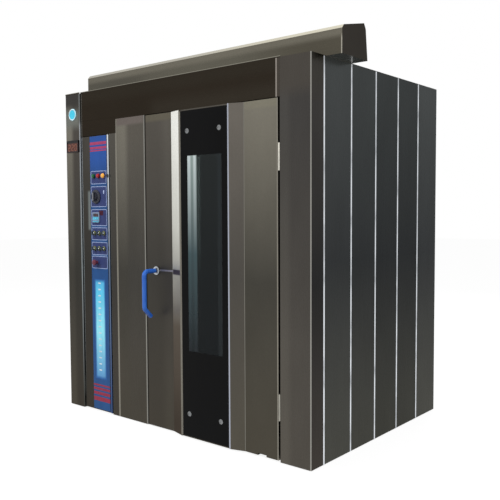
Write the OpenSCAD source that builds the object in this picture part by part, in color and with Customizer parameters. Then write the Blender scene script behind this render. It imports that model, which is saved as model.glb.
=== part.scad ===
// Rotating rack oven: insulated cabinet with a portal front, one tall hinged door, a control
// column, a roof duct and a rack that turns on a hook under the ceiling.
// Sub-parts are drawn with X to the right along the front, Y to the back and Z up, from the
// front left corner of the footprint; in_frame() then puts the middle of the footprint at the origin.

/* [Cabinet] */
// Width of the cabinet over its side panels
body_w = 2145; // [2080:5:2300]
// Depth of the cabinet, front of the pillars to the back panels
body_d = 1525; // [1470:5:1700]
// Height of the cabinet to the top of the roof sheets
body_h = 2250; // [2210:5:2350]
// Thickness of the folded sheets
sheet_t = 2; // [1.5:0.5:3]
// Depth of the folded edges of the outer panels
panel_fold = 20; // [14:1:26]
// Height of the panels' lower edges above the floor
foot_gap = 6; // [2:1:12]
// Number of panels on each side
side_panel_count = 5; // [3:1:7]
// Number of panels on the back
back_panel_count = 6; // [3:1:8]
// Number of roof sheets
roof_panel_count = 3; // [2:1:5]
// Open seam between two neighbouring panels
seam_gap = 3; // [1:0.5:5]
// Width of the polished strip over each seam
strip_w = 12; // [8:1:20]
// Height of the strip above the panel face
strip_proud = 3; // [2:0.5:5]

/* [Portal] */
// Depth of the portal pillars
portal_d = 124; // [110:1:136]
// Width of the left pillar
pillar_left_w = 162; // [130:1:170]
// Width of the right pillar
pillar_right_w = 210; // [180:1:230]
// Distance that the pillars stand in front of the header, door and columns
pillar_proud = 10; // [4:1:14]
// Radius of the pillars' folded corners
pillar_r = 4; // [2:0.5:8]
// Height of the header above the door
header_h = 210; // [190:1:240]
// Height of the filler panel over the control column
filler_h = 107; // [90:1:120]
// Distance that the filler's top edge lies above the header's lower edge
filler_rise = 13; // [8:1:40]
// Depth of the inward folds of the fixed front panels
front_fold = 70; // [40:1:72]

/* [Chamber] */
// Clear width of the baking chamber
chamber_w = 1200; // [1180:5:1215]
// Thickness of the insulated right wall
wall_right = 115; // [100:1:130]
// Thickness of the insulated back wall
wall_back = 110; // [95:1:140]
// Thickness of the insulated left wall of the heating space
wall_left = 130; // [110:1:160]
// Thickness of the chamber floor plate
floor_t = 8; // [5:1:12]
// Distance from the front of the portal to the front of the jamb frame
jamb_y = 88; // [86:0.5:92]
// Depth of the jamb frame
jamb_d = 52; // [45:1:60]
// Width of the door opening that the door overlaps on the latch side
lap_latch = 71; // [60:1:80]
// Width of the door opening that the door overlaps on the hinge side
lap_hinge = 51; // [45:1:60]
// Height of the door opening that the door overlaps at the top
lap_top = 55; // [45:1:70]
// Distance from the front to the partition in front of the heating space
partition_y = 520; // [490:5:560]
// Thickness of the wool in the partition
partition_t = 88; // [60:1:100]
// Height of the base bars
base_h = 50; // [40:1:70]
// Width of the base bars
base_bar_w = 60; // [40:1:66]
// Wall thickness of the base bars and of the jamb's posts
bar_wall = 3; // [2:0.5:4]

/* [Door] */
// Width of the door leaf
door_w = 1082; // [1040:1:1100]
// Thickness of the door leaf at its flat parts
door_t = 70; // [60:0.5:70]
// Gap under the door
door_foot = 9; // [6:1:20]
// Gap between the door and the header
door_head_gap = 5; // [3:1:8]
// Gap between the door and the fixed front panel
door_side_gap = 4; // [4:0.5:8]
// Gap between the door and the right pillar
hinge_gap = 19; // [19:1:24]
// Width of the raised middle at its foot, bevels included
raised_w = 595; // [560:1:640]
// Width of the outer glass
glass_w = 392; // [340:1:420]
// Distance that the raised middle stands in front of the flat parts
raise = 29; // [15:1:40]
// Width of the polished rim beside the glass
glass_rim = 2; // [1:0.5:4]
// Thickness of the outer glass
glass_t = 6; // [4:1:8]
// Thickness of the inner glass
inner_glass_t = 4; // [4:1:6]
// Width of the clear window
window_w = 279; // [240:1:300]
// Height of the window's lower edge above the floor
window_z0 = 554; // [260:1:620]
// Distance from the window's upper edge to the top of the door
window_head = 283; // [220:1:400]
// Radius of the dome screws that hold the glass
screw_r = 16; // [10:1:18]
// Height of the screw domes
screw_h = 8; // [4:1:12]
// Spacing of the screws across the glass
screw_pitch = 262; // [220:1:280]
// Distance of the upper screws from the upper end of the door
screw_end = 132; // [90:1:160]
// Distance of the lower screws from the lower end of the door
screw_foot = 150; // [90:1:180]
// Length of the glass that stays back from each end of the door
glass_end = 9; // [5:1:15]
// Width of the drain notch in the door's lower edge
notch_w = 62; // [40:1:80]
// Height of the drain notch
notch_h = 12; // [6:1:16]
// Distance from the hinge edge of the door to the notch
notch_x = 118; // [100:1:160]
// Width of the door gasket
gasket_w = 18; // [12:1:24]
// Height of the door hinges
hinge_h = 152; // [120:1:180]
// Height of the lower hinge's middle above the floor
hinge_z_low = 314; // [250:1:360]
// Distance from the upper hinge's middle to the top of the door
hinge_head = 322; // [220:1:400]
// Radius of the hinge knuckles
knuckle_r = 8; // [7:0.5:8.5]
// Radius of the hinge pins
hinge_pin_r = 4; // [3:0.5:5]
// Radial clearance of pins and shafts in their bores
running_fit = 0.05; // [0.02:0.01:0.08]

/* [Handle and latch] */
// Height of the handle's spindle above the floor
handle_z = 1035; // [950:1:1100]
// Distance from the latch edge of the door to the spindle
handle_x = 101; // [95:1:125]
// Distance from the flat of the door to the middle of the grip
handle_out = 112; // [95:1:130]
// Radius of the handle rod
rod_r = 10; // [8:0.5:11]
// Thickness of the blue sleeve on the rod
sleeve_t = 4.5; // [3:0.5:6]
// Radius of the bend at the top of the grip
handle_bend = 30; // [24:1:40]
// Length of the straight grip below the upper bend
grip_len = 196; // [160:1:240]
// Length of the turned-in end of the grip
grip_tail = 62; // [50:1:75]
// Radius of the hub that the rod comes out of
hub_r = 27; // [20:1:30]
// Radius of the spindle
spindle_r = 8; // [6:0.5:9]
// Radius of the crank pin's circle
crank_r = 18; // [17:0.5:20]
// Angle of the crank pin before the top at rest
crank_lead = 40; // [30:1:40]
// Radius of the crank pin
crank_pin_r = 4; // [3:0.5:4.5]
// Radius of the latch bolt
bolt_r = 9; // [7:0.5:10]
// Distance that the latch bolt reaches past the door edge
bolt_out = 18; // [14:1:20]

/* [Control column] */
// Width of the access door in the control column
access_w = 300.5; // [290:0.5:320]
// Width of the fixed strip beside the access door
column_strip_w = 71; // [60:1:80]
// Width of the sloping edge of the access door
access_edge_w = 22; // [16:1:26]
// Distance that the sloping edge stands out
access_edge_out = 6.5; // [4:0.5:8]
// Depth of the folded edges of the access door
access_fold = 20; // [14:1:24]
// Width of the blue overlay
overlay_w = 181; // [170:1:190]
// Thickness of the overlay
overlay_t = 1; // [0.5:0.1:1.5]
// Height of the overlay's lower edge above the floor
overlay_z0 = 18; // [16:1:60]
// Distance from the overlay's upper edge to the top of the access door
overlay_head = 2; // [1:1:80]
// Distance from the overlay to the sloping edge
overlay_gap = 4; // [2:1:8]
// Spacing of the lamps and of the selector switches
switch_pitch = 52; // [48:1:56]
// Distance from the top of the access door to the lamps
lamp_drop = 278; // [260:1:300]
// Radius of the lamp lenses
lamp_r = 14; // [10:0.5:16]
// Distance from the lamps down to the timer
timer_drop = 143; // [135:1:155]
// Radius of the timer dial
timer_r = 48; // [40:1:50]
// Side of the square temperature controller
controller_a = 72; // [64:1:74]
// Distance from the timer down to the controller
controller_drop = 144; // [138:1:155]
// Distance from the controller down to the upper row of selector switches
selector_drop = 110; // [102:1:120]
// Distance between the two rows of selector switches
selector_rows = 107; // [95:1:120]
// Radius of the selector bezels
selector_r = 15; // [12:0.5:16]
// Distance from the lower selector switches down to the stop button
stop_drop = 98; // [86:1:110]
// Radius of the stop button's head
stop_r = 20; // [16:0.5:22]
// Travel of the stop button
stop_travel = 5; // [3:0.5:6]
// Distance from the top of the access door to its lock
lock_drop = 280; // [230:1:430]

/* [Badge and display] */
// Radius of the plain round badge
badge_r = 43; // [30:1:50]
// Distance from the top of the pillar to the badge's middle
badge_drop = 142; // [100:1:200]
// Width of the display
display_w = 134; // [110:1:138]
// Height of the display
display_h = 86; // [45:1:100]
// Distance from the badge down to the display's middle
display_drop = 226; // [200:1:300]

/* [Roof duct] */
// Gap between the portal and the duct
duct_gap = 22; // [10:1:30]
// Depth of the duct
duct_d = 265; // [220:1:280]
// Height of the duct's front face
duct_front_h = 134; // [110:1:150]
// Height of the duct's front chamfer
duct_chamfer = 20; // [10:1:30]
// Distance that the duct's back face leans in at its top
duct_lean = 20; // [0:1:30]
// Height of the duct's back face
duct_back_h = 172; // [165:1:200]
// Height of the duct at its highest edge
duct_h = 201; // [190:1:210]
// Distance that the duct reaches past the right side
duct_over = 98; // [60:1:110]
// Distance from the left side to the duct
duct_left = 75; // [40:1:120]

/* [Rack and its drive] */
// Width of the rack
rack_w = 660; // [640:1:680]
// Depth of the rack
rack_d = 830; // [820:1:850]
// Space between the rack's top rails and the ceiling of the chamber
rack_head = 205; // [165:1:235]
// Side of the rack's square tubes
tube_a = 25; // [20:1:30]
// Number of runner levels
level_count = 16; // [10:1:17]
// Spacing of the runner levels
level_pitch = 95; // [90:1:96]
// Height of the lowest runners above the floor
level_z0 = 260; // [240:1:280]
// Depth of the baking trays
tray_h = 20; // [15:1:30]
// Thickness of the tray sheet
tray_t = 1.5; // [1:0.5:2]
// Radius of the caster wheels
wheel_r = 50; // [45:1:50]
// Width of the caster wheels
wheel_w = 28; // [24:1:32]
// Distance that the hung rack's wheels clear the floor plate
hang_clear = 15; // [8:1:20]
// Distance between a swivel caster's kingpin and its axle
caster_trail = 34; // [25:1:36]
// Radius of the drive shaft
shaft_r = 20; // [16:0.5:22]

/* [Fan, heaters and vent] */
// Radius of the fan wheel
fan_r = 250; // [200:5:270]
// Height of the fan wheel
fan_h = 150; // [120:5:160]
// Number of fan blades
blade_count = 12; // [8:1:16]
// Number of heater hairpins in each row
heater_count = 6; // [4:1:7]
// Radius of the heater tubes
heater_r = 6; // [4:0.5:8]
// Radius of the vent stack
vent_r = 60; // [50:1:64]
// Height of the vent stack above the roof
vent_h = 240; // [220:1:260]
// Length of the collar on the vent stack's end
vent_collar_h = 75; // [60:1:80]
// Radius of the water pipe
water_r = 10.65; // [8:0.05:12]
// Radius of the water inlet's end fitting
water_fit_r = 13.2; // [12.5:0.1:17]
// Length of the water inlet's end fitting
water_fit_h = 30; // [20:1:35]

/* [Hidden] */
$fn = 64;
seat = 0.3;                     // gap that stands for a butt joint between two pieces
corner = 0.5;                   // gap between two sheets that meet at a corner
front_y = pillar_proud;         // plane of the header, door flats and columns
in_x = body_w - panel_fold;     // inner side of the right panels

// portal
pillar_x = body_w - pillar_right_w;
header_z = body_h - header_h;
filler_z1 = header_z + filler_rise;
filler_z0 = filler_z1 - filler_h;

// door
door_x1 = pillar_x - hinge_gap;
door_x0 = door_x1 - door_w;
door_cx = (door_x0 + door_x1) / 2;
door_z1 = header_z - door_head_gap;
door_y1 = front_y + door_t;
raised_y = front_y - raise;
seat_y = raised_y + glass_t + seat;          // face of the skin behind the glass
glass_z0 = door_foot + glass_end;
glass_z1 = door_z1 - glass_end;
screw_z0 = door_foot + screw_foot;
screw_z1 = door_z1 - screw_end;
window_z1 = door_z1 - window_head;
reveal_y0 = seat_y + sheet_t + seat;         // front of the window's tunnel
liner_y = door_y1 - sheet_t;                 // front of the door's inner skin
clip_w = 16;                                 // bars that hold the inner glass
clip_h = 6;

// hinges
hinge_x = door_x1 + hinge_gap / 2;
hinge_y = front_y + 2;
leaf_t = 3;
leaf_d = 42;
hinge_zs = [hinge_z_low, door_z1 - hinge_head];

// chamber
chamber_x1 = body_w - wall_right;
chamber_x0 = chamber_x1 - chamber_w;
chamber_y0 = jamb_y + jamb_d;
chamber_y1 = body_d - wall_back;
chamber_z1 = header_z - door_head_gap;
open_x0 = door_x0 + lap_latch;
open_x1 = door_x1 - lap_hinge;
open_z1 = door_z1 - lap_top;
jamb_x0 = chamber_x0 - sheet_t;
turn_x = (chamber_x0 + chamber_x1) / 2;
turn_y = (chamber_y0 + chamber_y1) / 2;

// heating space
heat_x0 = wall_left;
heat_x1 = chamber_x0 - 2 * sheet_t;
fan_x = (heat_x0 + heat_x1) / 2;
fan_y = (partition_y + chamber_y1) / 2;
baffle_head = 295;              // space over the baffle for the fan
baffle_z = chamber_z1 - baffle_head;
fan_z0 = baffle_z + 40;
fan_shaft_r = 14;
fan_hub_r = 40;
fan_hub_h = 62;
motor_flange_r = 120;
motor_flange_t = 12;
motor_r = 88;
motor_h = 235;
fan_intake_r = fan_r - 70;
bracket_z = baffle_z - 45;
heater_z0 = 420;
heater_margin = 110;
heater_rows = [80, 190];
vent_x = heat_x0 + 170;
vent_y = chamber_y1 - 165;
vent_wall = 1.5;
vent_z0 = chamber_z1 - 3;
vent_z1 = body_h + vent_h;
vent_collar_r = vent_r + 2;
damper_z = body_h + vent_h - 100;
damper_shaft_r = 5;
steam_x0 = heat_x0 + 70;
steam_w = 480;
steam_z0 = 240;
steam_pitch = 100;
steam_head = 230;               // space above the drip shelves for the water pipe
steam_steps = floor((baffle_z - steam_head - steam_z0) / steam_pitch);
water_x = steam_x0 + steam_w / 2;
water_z = steam_z0 + steam_steps * steam_pitch + 70;
water_out = 45;

// roof
roof_z = body_h - sheet_t;
wool_top = roof_z - seat;
slab_z = chamber_z1 + sheet_t + seat;

// latch: the crank pin swings evenly about the top, so the bolt's travel follows the angle
crank_x = crank_r * sin(crank_lead);
bend_draw = 0.05;               // the bends are drawn this much thinner than the straight rod
spindle_x = door_x0 + handle_x;
bolt_y = front_y + 35;
bolt_z = handle_z + crank_r + 2;
bolt_tail_t = 8;
bolt_tail_z0 = handle_z + spindle_r + 1;
pin_slot_clear = 0.8;

// control column
column_x1 = pillar_left_w + access_w + 4.5 + column_strip_w + 3;
access_x0 = pillar_left_w + 4.5;
access_x1 = access_x0 + access_w;
access_z0 = 12;
access_z1 = filler_z0 - 4;
access_hinge_x = access_x0 + 2.5;
access_hinge_y = front_y + sheet_t + 4;
access_pin_r = 2;
access_boss_r = 3.5;
access_hinge_h = 60;
access_hinge_z0 = 260;
access_hinge_z1 = access_z1 - 273;
access_hinge_zs = [access_hinge_z0, (access_hinge_z0 + access_hinge_z1) / 2, access_hinge_z1];
edge_x0 = access_x1 - access_edge_w;
overlay_x1 = edge_x0 - overlay_gap;
overlay_x0 = overlay_x1 - overlay_w;
column_x0 = access_x1 + 3;
switch_x = (overlay_x0 + overlay_x1) / 2 + 1.5;
dial_x = overlay_x0 + 62;
switch_hole_r = 11;
switch_depth = 42;
overlay_y = front_y - overlay_t;
overlay_z1 = access_z1 - overlay_head;
lamp_z = access_z1 - lamp_drop;
timer_z = lamp_z - timer_drop;
controller_z = timer_z - controller_drop;
selector_zs = [controller_z - selector_drop, controller_z - selector_drop - selector_rows];
stop_z = selector_zs[1] - stop_drop;
lock_z = access_z1 - lock_drop;
badge_z = body_h - badge_drop;
display_z = badge_z - display_drop;
lock_x = edge_x0 + access_edge_w / 2 - 1;
lock_r = 9;

// switchgear and lamp
plate_t = 3;
plate_z0 = 700;
plate_head = 137;               // from the filler panel down to the plate
rail_pitch = 260;
device_pitch = 78;
device_d = 85;
lamp_box = [8, 100];            // thickness and width of the chamber lamp's plate
lamp_z0 = 560;
lamp_tube_r = 9;
lamp_inset = 5;                 // from the partition to the lamp's plate

// duct
duct_y0 = portal_d + duct_gap;
duct_x1 = body_w + duct_over;

// rack
floor_z = floor_t;
rack_top = chamber_z1 - rack_head;
axle_z = floor_z + hang_clear + wheel_r;
axle_r = 5;
fork_plate_z = axle_z + wheel_r + 4;
caster_plate_t = 6;
rail_z = fork_plate_z + caster_plate_t + caster_plate_t;
caster_x = rack_w / 2 - 62;
caster_y = rack_d / 2 - 68;
kingpin_r = 8;
runner_w = 25;
runner_t = 2;
runner_head = 20;               // least space between the top runners and the top rails
levels = min(level_count, 1 + floor((rack_top - tube_a - runner_head - level_z0) / level_pitch));
tray_w = rack_w - 2 * tube_a - 10;
tray_d = rack_d - 30;
lug_x = 250;
lug_z = rack_top + 45;
lug_r = 8;
beam_z = lug_z + 30;
beam_h = 20;
hub_z1 = beam_z + beam_h + 40;
drive_z0 = body_h;
drive_foot = 140;               // half the side of the drive's foot plate
drive_foot_t = 10;
gearbox_z = drive_z0 + 80;
gearbox_a = 95;                 // half the side of the gearbox
gearbox_h = 105;
drive_motor_r = 52;
drive_motor_l = 240;            // length of the motor beside the gearbox
shaft_z1 = gearbox_z + 70;

// ---- shared shapes ----

// Moves a sub-part so that the middle of the footprint is the origin
module in_frame() translate([-body_w / 2, -body_d / 2, 0]) children();

// Box between two corners
module block(lo, hi) translate(lo) cube(hi - lo);

// Cylinder along Y from y0 to y1, centred on x and z
module y_rod(x, z, y0, y1, r) translate([x, y0, z]) rotate([-90, 0, 0]) cylinder(h = y1 - y0, r = r);

// Cylinder along X from x0 to x1
module x_rod(y, z, x0, x1, r) translate([x0, y, z]) rotate([0, 90, 0]) cylinder(h = x1 - x0, r = r);

// Cylinder along Z from z0 to z1
module z_rod(x, y, z0, z1, r) translate([x, y, z0]) cylinder(h = z1 - z0, r = r);

// Rectangle with round corners, from the origin
module round_rect(w, h, r) {
    translate([r, 0]) square([w - 2 * r, h]);
    translate([0, r]) square([w, h - 2 * r]);
    for (x = [r, w - r], y = [r, h - r]) translate([x, y]) circle(r = r);
}

// Plate in the XZ plane with round corners
module face_plate(x, z, w, h, y0, y1, r)
    translate([x, y1, z]) rotate([90, 0, 0]) linear_extrude(y1 - y0) round_rect(w, h, r);

// Open tray: a box between two corners, hollowed from the side that "open" points to
module tray_panel(lo, hi, t, open) {
    difference() {
        block(lo, hi);
        block(lo + [t, t, t] + [min(open[0], 0), min(open[1], 0), min(open[2], 0)] * (2 * t),
              hi - [t, t, t] + [max(open[0], 0), max(open[1], 0), max(open[2], 0)] * (2 * t));
    }
}

// Rectangular tube between two corners, open along one axis
module bar(lo, hi, axis) difference() {
    block(lo, hi);
    block([for (a = [0 : 2]) lo[a] + (a == axis ? -1 : bar_wall)],
          [for (a = [0 : 2]) hi[a] - (a == axis ? -1 : bar_wall)]);
}

// ---- cabinet ----

module base_frame() color("dimgray") {
    x0 = panel_fold + 3;
    x1 = body_w - x0;
    y1 = body_d - x0;
    y0 = jamb_y - 2 + seat;
    bar([x0, y0, 0], [x0 + base_bar_w, y1, base_h], 1);
    bar([x1 - base_bar_w, chamber_y0 + seat, 0], [x1, y1, base_h], 1);
    bar([x0 + base_bar_w + seat, y1 - base_bar_w, 0], [x1 - base_bar_w - seat, y1, base_h], 0);
    bar([x0 + base_bar_w + seat, y0, 0], [jamb_x0 - seat, portal_d, base_h], 0);
}

module chamber_floor() color("silver") {
    translate([0, 0, 0]) linear_extrude(floor_t) {
        translate([jamb_x0, chamber_y0 + seat]) square([chamber_x1 + sheet_t - jamb_x0, chamber_y1 - chamber_y0]);
        translate([heat_x0 - sheet_t, partition_y])
            square([chamber_x0 - heat_x0 + sheet_t, chamber_y1 + seat - partition_y]);
        translate([open_x0 + corner, jamb_y]) square([open_x1 - open_x0 - 2 * corner, jamb_d + 1]);
    }
}

// Folded pillar with round front corners and a closed top, open to the back and below
module pillar(x, w, return_d, return_left) {
    difference() {
        translate([x, 0, foot_gap]) linear_extrude(body_h - foot_gap) {
            round_rect(w, portal_d, pillar_r);
            translate([0, pillar_r]) square([w, portal_d - pillar_r]);
        }
        block([x + sheet_t, sheet_t, 0], [x + w - sheet_t, portal_d + 1, roof_z]);
        block([return_left ? x - 1 : x + w - sheet_t - 1, return_d, 0],
              [return_left ? x + sheet_t + 1 : x + w + 1, portal_d + 1, roof_z]);
    }
}

module left_pillar() color([0.42, 0.40, 0.37]) {
    pillar(0, pillar_left_w, jamb_y - 2, false);
    // pins of the access door's hinges, on arms from the pillar's inner face
    for (z = access_hinge_zs) {
        z_rod(access_hinge_x, access_hinge_y, z - 8, z + access_hinge_h + 8, access_pin_r);
        for (end = [z - 8, z + access_hinge_h + corner]) {
            z_rod(access_hinge_x, access_hinge_y, end, end + 8 - corner, access_boss_r);
            block([access_hinge_x - access_boss_r + 1, access_hinge_y, end],
                  [access_hinge_x + access_boss_r - 1, access_hinge_y + 14, end + 8 - corner]);
            block([pillar_left_w - 1, access_hinge_y + 10, end],
                  [access_hinge_x + access_boss_r - 1, access_hinge_y + 14, end + 8 - corner]);
        }
    }
}

module right_pillar() color([0.30, 0.29, 0.27]) pillar(pillar_x, pillar_right_w, jamb_y - 2, true);

module header_panel() color([0.17, 0.16, 0.14]) {
    x0 = pillar_left_w + corner;
    x1 = pillar_x - corner;
    y1 = front_y + sheet_t;
    // header with a step over the control column
    difference() {
        union() {
            translate([0, y1, 0]) rotate([90, 0, 0]) linear_extrude(sheet_t)
                polygon([[x0, filler_z1 + corner], [column_x1, filler_z1 + corner], [column_x1, header_z],
                         [x1, header_z], [x1, body_h], [x0, body_h]]);
            block([x0, front_y, roof_z], [x1, portal_d, body_h]);
            block([column_x1, front_y, header_z], [x1, jamb_y - 3, header_z + sheet_t]);
            block([x0, front_y, filler_z1 + corner], [column_x1, front_y + front_fold, filler_z1 + corner + sheet_t]);
        }
    }
    // filler over the control column
    tray_panel([x0, front_y, filler_z0], [column_x1 - corner, front_y + front_fold, filler_z1], sheet_t, [0, 1, 0]);
}

module fixed_front_panels() color([0.36, 0.35, 0.32]) {
    // panel between the control column and the door
    difference() {
        tray_panel([column_x1, front_y, foot_gap], [door_x0 - door_side_gap, front_y + front_fold, header_z - seat],
                   sheet_t, [0, 1, 0]);
        x_rod(bolt_y, bolt_z, door_x0 - door_side_gap - sheet_t - 1, door_x0, bolt_r + 1.5);
    }
    // strip beside the access door
    tray_panel([column_x0, front_y, foot_gap],
               [column_x1 - corner, front_y + access_fold - 2, filler_z0 - corner], sheet_t, [0, 1, 0]);
}

function side_pitch() = (body_d - portal_d) / side_panel_count;

module side_panels() color([0.24, 0.26, 0.27]) {
    for (i = [0 : side_panel_count - 1]) {
        y0 = portal_d + i * side_pitch() + seam_gap / 2;
        y1 = portal_d + (i + 1) * side_pitch() - (i == side_panel_count - 1 ? 0 : seam_gap / 2);
        tray_panel([body_w - panel_fold, y0, foot_gap], [body_w, y1, roof_z - corner], sheet_t, [-1, 0, 0]);
        tray_panel([0, y0, foot_gap], [panel_fold, y1, roof_z - corner], sheet_t, [1, 0, 0]);
    }
}

module back_panels() color([0.34, 0.35, 0.36]) {
    x0 = panel_fold + corner;
    pitch = (body_w - 2 * x0) / back_panel_count;
    difference() {
        for (i = [0 : back_panel_count - 1])
            tray_panel([x0 + i * pitch + (i == 0 ? 0 : seam_gap / 2), body_d - panel_fold, foot_gap],
                       [x0 + (i + 1) * pitch - (i == back_panel_count - 1 ? 0 : seam_gap / 2), body_d,
                        roof_z - corner], sheet_t, [0, -1, 0]);
        y_rod(water_x, water_z, body_d - panel_fold - 1, body_d + 1, water_r + seat);
    }
}

module roof_panels() color([0.34, 0.35, 0.36]) difference() {
    pitch = body_w / roof_panel_count;
    for (i = [0 : roof_panel_count - 1])
        block([i * pitch + (i == 0 ? 0 : corner), portal_d + seat, roof_z],
              [(i + 1) * pitch, body_d, body_h]);
    z_rod(turn_x, turn_y, roof_z - 1, body_h + 1, shaft_r + 5);
    z_rod(fan_x, fan_y, roof_z - 1, body_h + 1, fan_shaft_r + 6);
    z_rod(vent_x, vent_y, roof_z - 1, body_h + 1, vent_r + seat);
}

// Bead over a seam: a low arc of a circle, standing on the panel face
module bead(h) {
    r = (strip_w * strip_w / 4 + strip_proud * strip_proud) / (2 * strip_proud);
    linear_extrude(h) intersection() {
        translate([strip_proud - r, 0]) circle(r = r);
        translate([0, -strip_w / 2]) square([strip_proud, strip_w]);
    }
}

module seam_strips() color([0.75, 0.77, 0.80]) {
    h = roof_z - foot_gap - 2;
    for (i = [0 : side_panel_count - 1]) {
        y = portal_d + i * side_pitch();
        translate([body_w, y, foot_gap]) bead(h);
        translate([0, y, foot_gap]) mirror([1, 0, 0]) bead(h);
    }
    x0 = panel_fold + corner;
    pitch = (body_w - 2 * x0) / back_panel_count;
    for (i = [1 : back_panel_count - 1])
        translate([x0 + i * pitch, body_d, foot_gap]) rotate([0, 0, 90]) bead(h);
}

// Outline of the duct in depth and height, drawn in by a wall thickness
module duct_outline(inset) {
    back = duct_d - duct_lean;
    polygon([[inset, inset], [duct_d - 1.15 * inset, inset], [back - 1.05 * inset, duct_back_h - 0.3 * inset],
             [back - 0.95 * duct_chamfer - 0.4 * inset, duct_h - 1.05 * inset],
             [0.85 * duct_chamfer + 0.3 * inset, duct_front_h + duct_chamfer - inset],
             [inset, duct_front_h - 0.35 * inset]]);
}

module roof_duct() color([0.45, 0.44, 0.40]) translate([duct_left, duct_y0, body_h + seat]) {
    length = duct_x1 - duct_left;
    cap_t = sheet_t;
    rotate([90, 0, 90]) translate([0, 0, cap_t]) linear_extrude(length - 2 * cap_t) difference() {
        duct_outline(0);
        duct_outline(sheet_t);
    }
    for (x = [0, length - cap_t]) translate([x, 0, 0]) rotate([90, 0, 90]) linear_extrude(cap_t) duct_outline(0);
}

module wall_insulation() color("khaki") {
    z0 = base_h + seat;
    z1 = slab_z - seat;
    y1 = body_d - panel_fold - seat;
    // right wall
    block([chamber_x1 + sheet_t + seat, chamber_y0 + seat, z0], [in_x - seat, y1, z1]);
    // back wall
    difference() {
        block([heat_x0 - sheet_t, chamber_y1 + sheet_t + seat, z0], [chamber_x1 + sheet_t - seat, y1, z1]);
        y_rod(water_x, water_z, chamber_y1, body_d, water_r + 1);
    }
    // left wall of the heating space
    block([panel_fold + seat, partition_y - partition_t, z0], [heat_x0 - sheet_t - seat, y1, z1]);
    // partition between the switchgear and the heating space
    block([heat_x0 - sheet_t, partition_y - partition_t, z0],
          [chamber_x0 - partition_t, partition_y - sheet_t - seat, z1]);
    // left wall of the chamber beside the partition
    block([chamber_x0 - partition_t + corner, chamber_y0 + seat, z0],
          [chamber_x0 - sheet_t - seat, partition_y - sheet_t - seat, z1]);
    // ceiling
    difference() {
        block([panel_fold + seat, chamber_y0 + seat, slab_z], [in_x - seat, y1, wool_top]);
        z_rod(turn_x, turn_y, slab_z - 1, body_h, shaft_r + 6);
        z_rod(fan_x, fan_y, slab_z - 1, body_h, fan_shaft_r + 8);
        z_rod(vent_x, vent_y, slab_z - 1, body_h, vent_r + seat);
    }
}

module chamber_liner() color([0.72, 0.72, 0.70]) {
    z0 = floor_t + seat;
    z1 = chamber_z1 - corner;
    t = sheet_t;
    // right wall, back wall, front part of the left wall
    block([chamber_x1, chamber_y0 + corner, z0], [chamber_x1 + t, chamber_y1 - corner, z1]);
    difference() {
        block([heat_x0 + corner, chamber_y1, z0], [chamber_x1 + t, chamber_y1 + t, z1]);
        y_rod(water_x, water_z, chamber_y1 - 1, chamber_y1 + t + 1, water_r + seat);
    }
    block([chamber_x0 - t, chamber_y0 + corner, z0], [chamber_x0, partition_y - corner, z1]);
    // front and left wall of the heating space
    block([heat_x0 + corner, partition_y - t, z0], [chamber_x0 - t - corner, partition_y, z1]);
    block([heat_x0 - t, partition_y + corner, z0], [heat_x0, chamber_y1 - corner, z1]);
    // ceiling over both
    difference() {
        translate([0, 0, chamber_z1]) linear_extrude(t) {
            translate([chamber_x0 - t, chamber_y0 + corner])
                square([chamber_w + 2 * t, chamber_y1 - chamber_y0]);
            translate([heat_x0 - t, partition_y])
                square([chamber_x0 - heat_x0 + t, chamber_y1 + corner - partition_y]);
        }
        z_rod(turn_x, turn_y, chamber_z1 - 1, chamber_z1 + t + 1, shaft_r + 3);
        z_rod(fan_x, fan_y, chamber_z1 - 1, chamber_z1 + t + 1, fan_shaft_r + 4);
        z_rod(vent_x, vent_y, chamber_z1 - 1, chamber_z1 + t + 1, vent_r + seat);
    }
    // baffle with the fan's intake
    difference() {
        block([heat_x0 + corner, partition_y + corner, baffle_z],
              [heat_x1 - corner, chamber_y1 - corner, baffle_z + t]);
        z_rod(fan_x, fan_y, baffle_z - 1, baffle_z + t + 1, fan_intake_r);
        z_rod(vent_x, vent_y, baffle_z - 1, baffle_z + t + 1, 30);
    }
}

module air_wall() color([0.66, 0.66, 0.64]) {
    columns = 5;
    rows = 14;
    slot_w = 18;
    slot_h = 90;
    margin = 110;
    y_step = (chamber_y1 - partition_y - 2 * margin) / (columns - 1);
    z_step = (chamber_z1 - 2 * margin) / (rows - 1);
    difference() {
        block([chamber_x0 - 2 * sheet_t, partition_y + corner, floor_t + seat],
              [chamber_x0 - sheet_t, chamber_y1 - corner, chamber_z1 - corner]);
        for (c = [0 : columns - 1], r = [0 : rows - 1])
            translate([chamber_x0 - 2 * sheet_t - 1, partition_y + margin + c * y_step - slot_w / 2,
                       margin + r * z_step - slot_h / 2])
                cube([sheet_t + 2, slot_w, slot_h]);
    }
}

module jamb_frame() color([0.40, 0.40, 0.38]) {
    y1 = chamber_y0;
    // latch post, hinge post and head beam
    bar([jamb_x0, jamb_y, 0], [open_x0, y1, open_z1 - seat], 2);
    bar([open_x1, jamb_y, 0], [in_x - seat, y1, open_z1 - seat], 2);
    bar([jamb_x0, jamb_y, open_z1], [in_x - seat, y1, wool_top], 0);
    // strike plate of the latch
    x1 = door_x0 - door_side_gap - sheet_t - seat;
    difference() {
        block([x1 - 5, bolt_y - 18, bolt_z - 45], [x1, jamb_y - seat, bolt_z + 45]);
        x_rod(bolt_y, bolt_z, x1 - 6, x1 + 1, bolt_r + 1);
    }
}

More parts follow.
